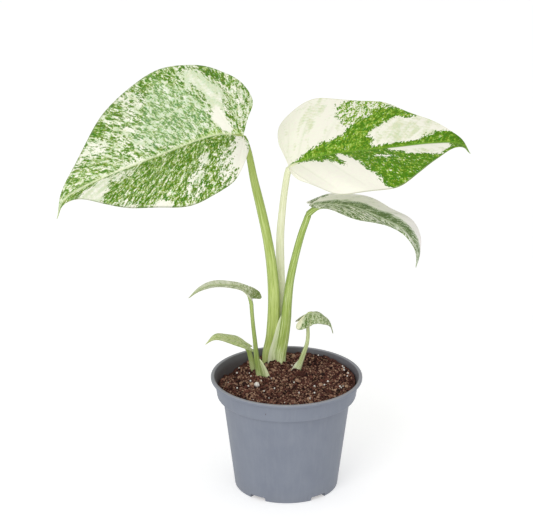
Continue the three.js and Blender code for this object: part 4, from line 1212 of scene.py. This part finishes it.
perlite = {
    "large": [(-23.4, -6.6)],
    "small": [(13, 50), (26, 44), (-28.2, 9.3), (-28.6, 1.3), (-38.1, 33.5), (-39.6, 25.4), (-26.8, 29.5),
              (45, 22), (46, 19), (46, 15), (49, 9), (5.8, -4.7), (21.9, -12.5), (29.8, -10.6),
              (32.7, -4.7), (9.6, -23.2), (21.7, -24.2), (18, -33.8), (41.9, -14.5), (44.3, -14.5)],
    "largeRadius": 1.8, "smallRadius": 0.7, "more": 14, "moreRadius": (0.35, 0.7), "spread": 50,
    "lumpiness": 0.22, "stretch": (0.75, 1.2), "raised": 0.6,
    "tones": {"clean": (250, 248, 242), "stained": (206, 188, 168), "pit": (176, 160, 142)},
}


def perlitePaint():
    tones = colours(perlite)
    paint = Paint("perlite", 0.3)
    place = paint.objectPlace()
    pits = paint.cells(place, 1.6)
    stain = paint.noise(place, 0.7, 3.0, 0.6)
    shade = paint.layered(tones["clean"], (stain.above(0.55, 0.3) * 0.45, tones["stained"]),
                          (pits.above(0.6, 0.3) * 0.35, tones["pit"]))
    return paint.finish(shade, 0.8 + stain * 0.1, pits, 0.4, 0.8)


def ballShape(detail):
    mesh = bpy.data.meshes.new("ball")
    form = bmesh.new()
    bmesh.ops.create_icosphere(form, subdivisions=detail, radius=1)
    form.to_mesh(mesh)
    form.free()
    corners = np.array([v.co[:] for v in mesh.vertices])
    faces = np.array([p.vertices[:] for p in mesh.polygons])
    bpy.data.meshes.remove(mesh)
    return corners, faces


def makePerlite():
    random = np.random.default_rng(23)
    grains = [(*spot, perlite["largeRadius"]) for spot in perlite["large"]]
    grains += [(*spot, perlite["smallRadius"]) for spot in perlite["small"]]
    for _ in range(perlite["more"]):
        far, turn = perlite["spread"] * math.sqrt(random.random()), random.random() * 2 * math.pi
        grains.append((far * math.cos(turn), far * math.sin(turn), random.uniform(*perlite["moreRadius"])))
    corners, ballFaces = ballShape(3)
    points, faces = [], []
    for index, (x, y, size) in enumerate(grains):
        lumps = 1 + perlite["lumpiness"] * roughness3d(corners + index * 5, 1.4, 2)
        grain = corners * lumps[:, None] * size * random.uniform(*perlite["stretch"], 3)
        points.append(grain + [x, y, soilHeight(x, y) + perlite["raised"] + size * 0.35])
        faces.append(ballFaces + index * len(corners))
    piece = makePiece("perliteGrains", np.vstack(points), np.vstack(faces), {}, perlitePaint())
    settle(piece)


makePerlite()
print("perlite made")


# The short main stem keeps its CAD shape

def barkPaint():
    paint = Paint("stemBark", 0.25)
    place = paint.objectPlace((1, 1, 0.4))
    ridges = paint.noise(place, 0.5, 4.0, 0.7)
    spots = paint.noise(place, 1.7, 3.0, 0.6)
    shade = paint.layered(colour(120, 112, 62), (ridges.above(0.5, 0.3), colour(166, 160, 104)),
                          (spots.above(0.6, 0.15) * 0.6, colour(92, 70, 44)))
    return paint.finish(shade, 0.7 + spots * 0.15, ridges * 0.7 + spots * 0.3, 0.8, 0.8)


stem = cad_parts["main_stem"]
stem.data.materials.clear()
stem.data.materials.append(barkPaint())
print("stem dressed")


# Floor, light and camera

studio = {
    "floorSize": 14000, "floorGlow": 0.38, "worldStrength": 0.7, "aim": (0, 0, 0.18),
    "lamps": {"key": {"at": (-1.0, -1.9, 1.5), "size": 1.4, "energy": 17},
              "fill": {"at": (1.3, -1.9, 0.8), "size": 1.6, "energy": 2},
              "front": {"at": (-0.3, -2.2, 0.35), "size": 1.6, "energy": 8}},
    "cameraAt": (-15.9, -1744.0, 847.7), "tilt": 20.8, "focus": 2397, "frameWidth": 533, "sensor": 36,
}


def makeFloor():
    paint = Paint("paleFloor", 0.1)
    paint.shader.inputs["Emission Color"].default_value = (1, 1, 1, 1)
    paint.shader.inputs["Emission Strength"].default_value = studio["floorGlow"]
    grain = paint.noise(paint.objectPlace(), 0.02, 2.0, 0.5)
    shade = paint.layered(colour(236, 236, 236), (grain, colour(238, 238, 238)))
    material = paint.finish(shade, 0.8 + grain * 0.1, grain, 0.05, 0.1)
    half = studio["floorSize"] / 2
    corners = np.array([[-half, -half, 0], [half, -half, 0], [half, half, 0], [-half, half, 0.0]])
    makePiece("studioFloor", corners, [[0, 1, 2, 3]], {}, material)


def makeLights():
    world = bpy.data.worlds.new("studio")
    world.use_nodes = True
    backdrop = world.node_tree.nodes["Background"]
    backdrop.inputs["Color"].default_value = (1, 1, 1, 1)
    backdrop.inputs["Strength"].default_value = studio["worldStrength"]
    bpy.context.scene.world = world
    for name, spec in studio["lamps"].items():
        lamp = bpy.data.lights.new(name, "AREA")
        lamp.shape = "DISK"
        lamp.size = spec["size"]
        lamp.energy = spec["energy"]
        light = bpy.data.objects.new(name, lamp)
        light.location = spec["at"]
        aim = Vector(studio["aim"]) - light.location
        light.rotation_euler = aim.to_track_quat("-Z", "Y").to_euler()
        bpy.context.collection.objects.link(light)


def makeCamera():
    lens = bpy.data.cameras.new("camera")
    lens.sensor_width = studio["sensor"]
    lens.lens = studio["sensor"] * studio["focus"] / studio["frameWidth"]
    lens.clip_end = 50
    camera = bpy.data.objects.new("camera", lens)
    camera.location = [part * mm for part in studio["cameraAt"]]
    camera.rotation_euler = (math.radians(90 - studio["tilt"]), 0, 0)
    bpy.context.collection.objects.link(camera)
    bpy.context.scene.camera = camera
    bpy.context.scene.view_settings.view_transform = "Standard"


makeFloor()
makeLights()
makeCamera()
print("studio made")
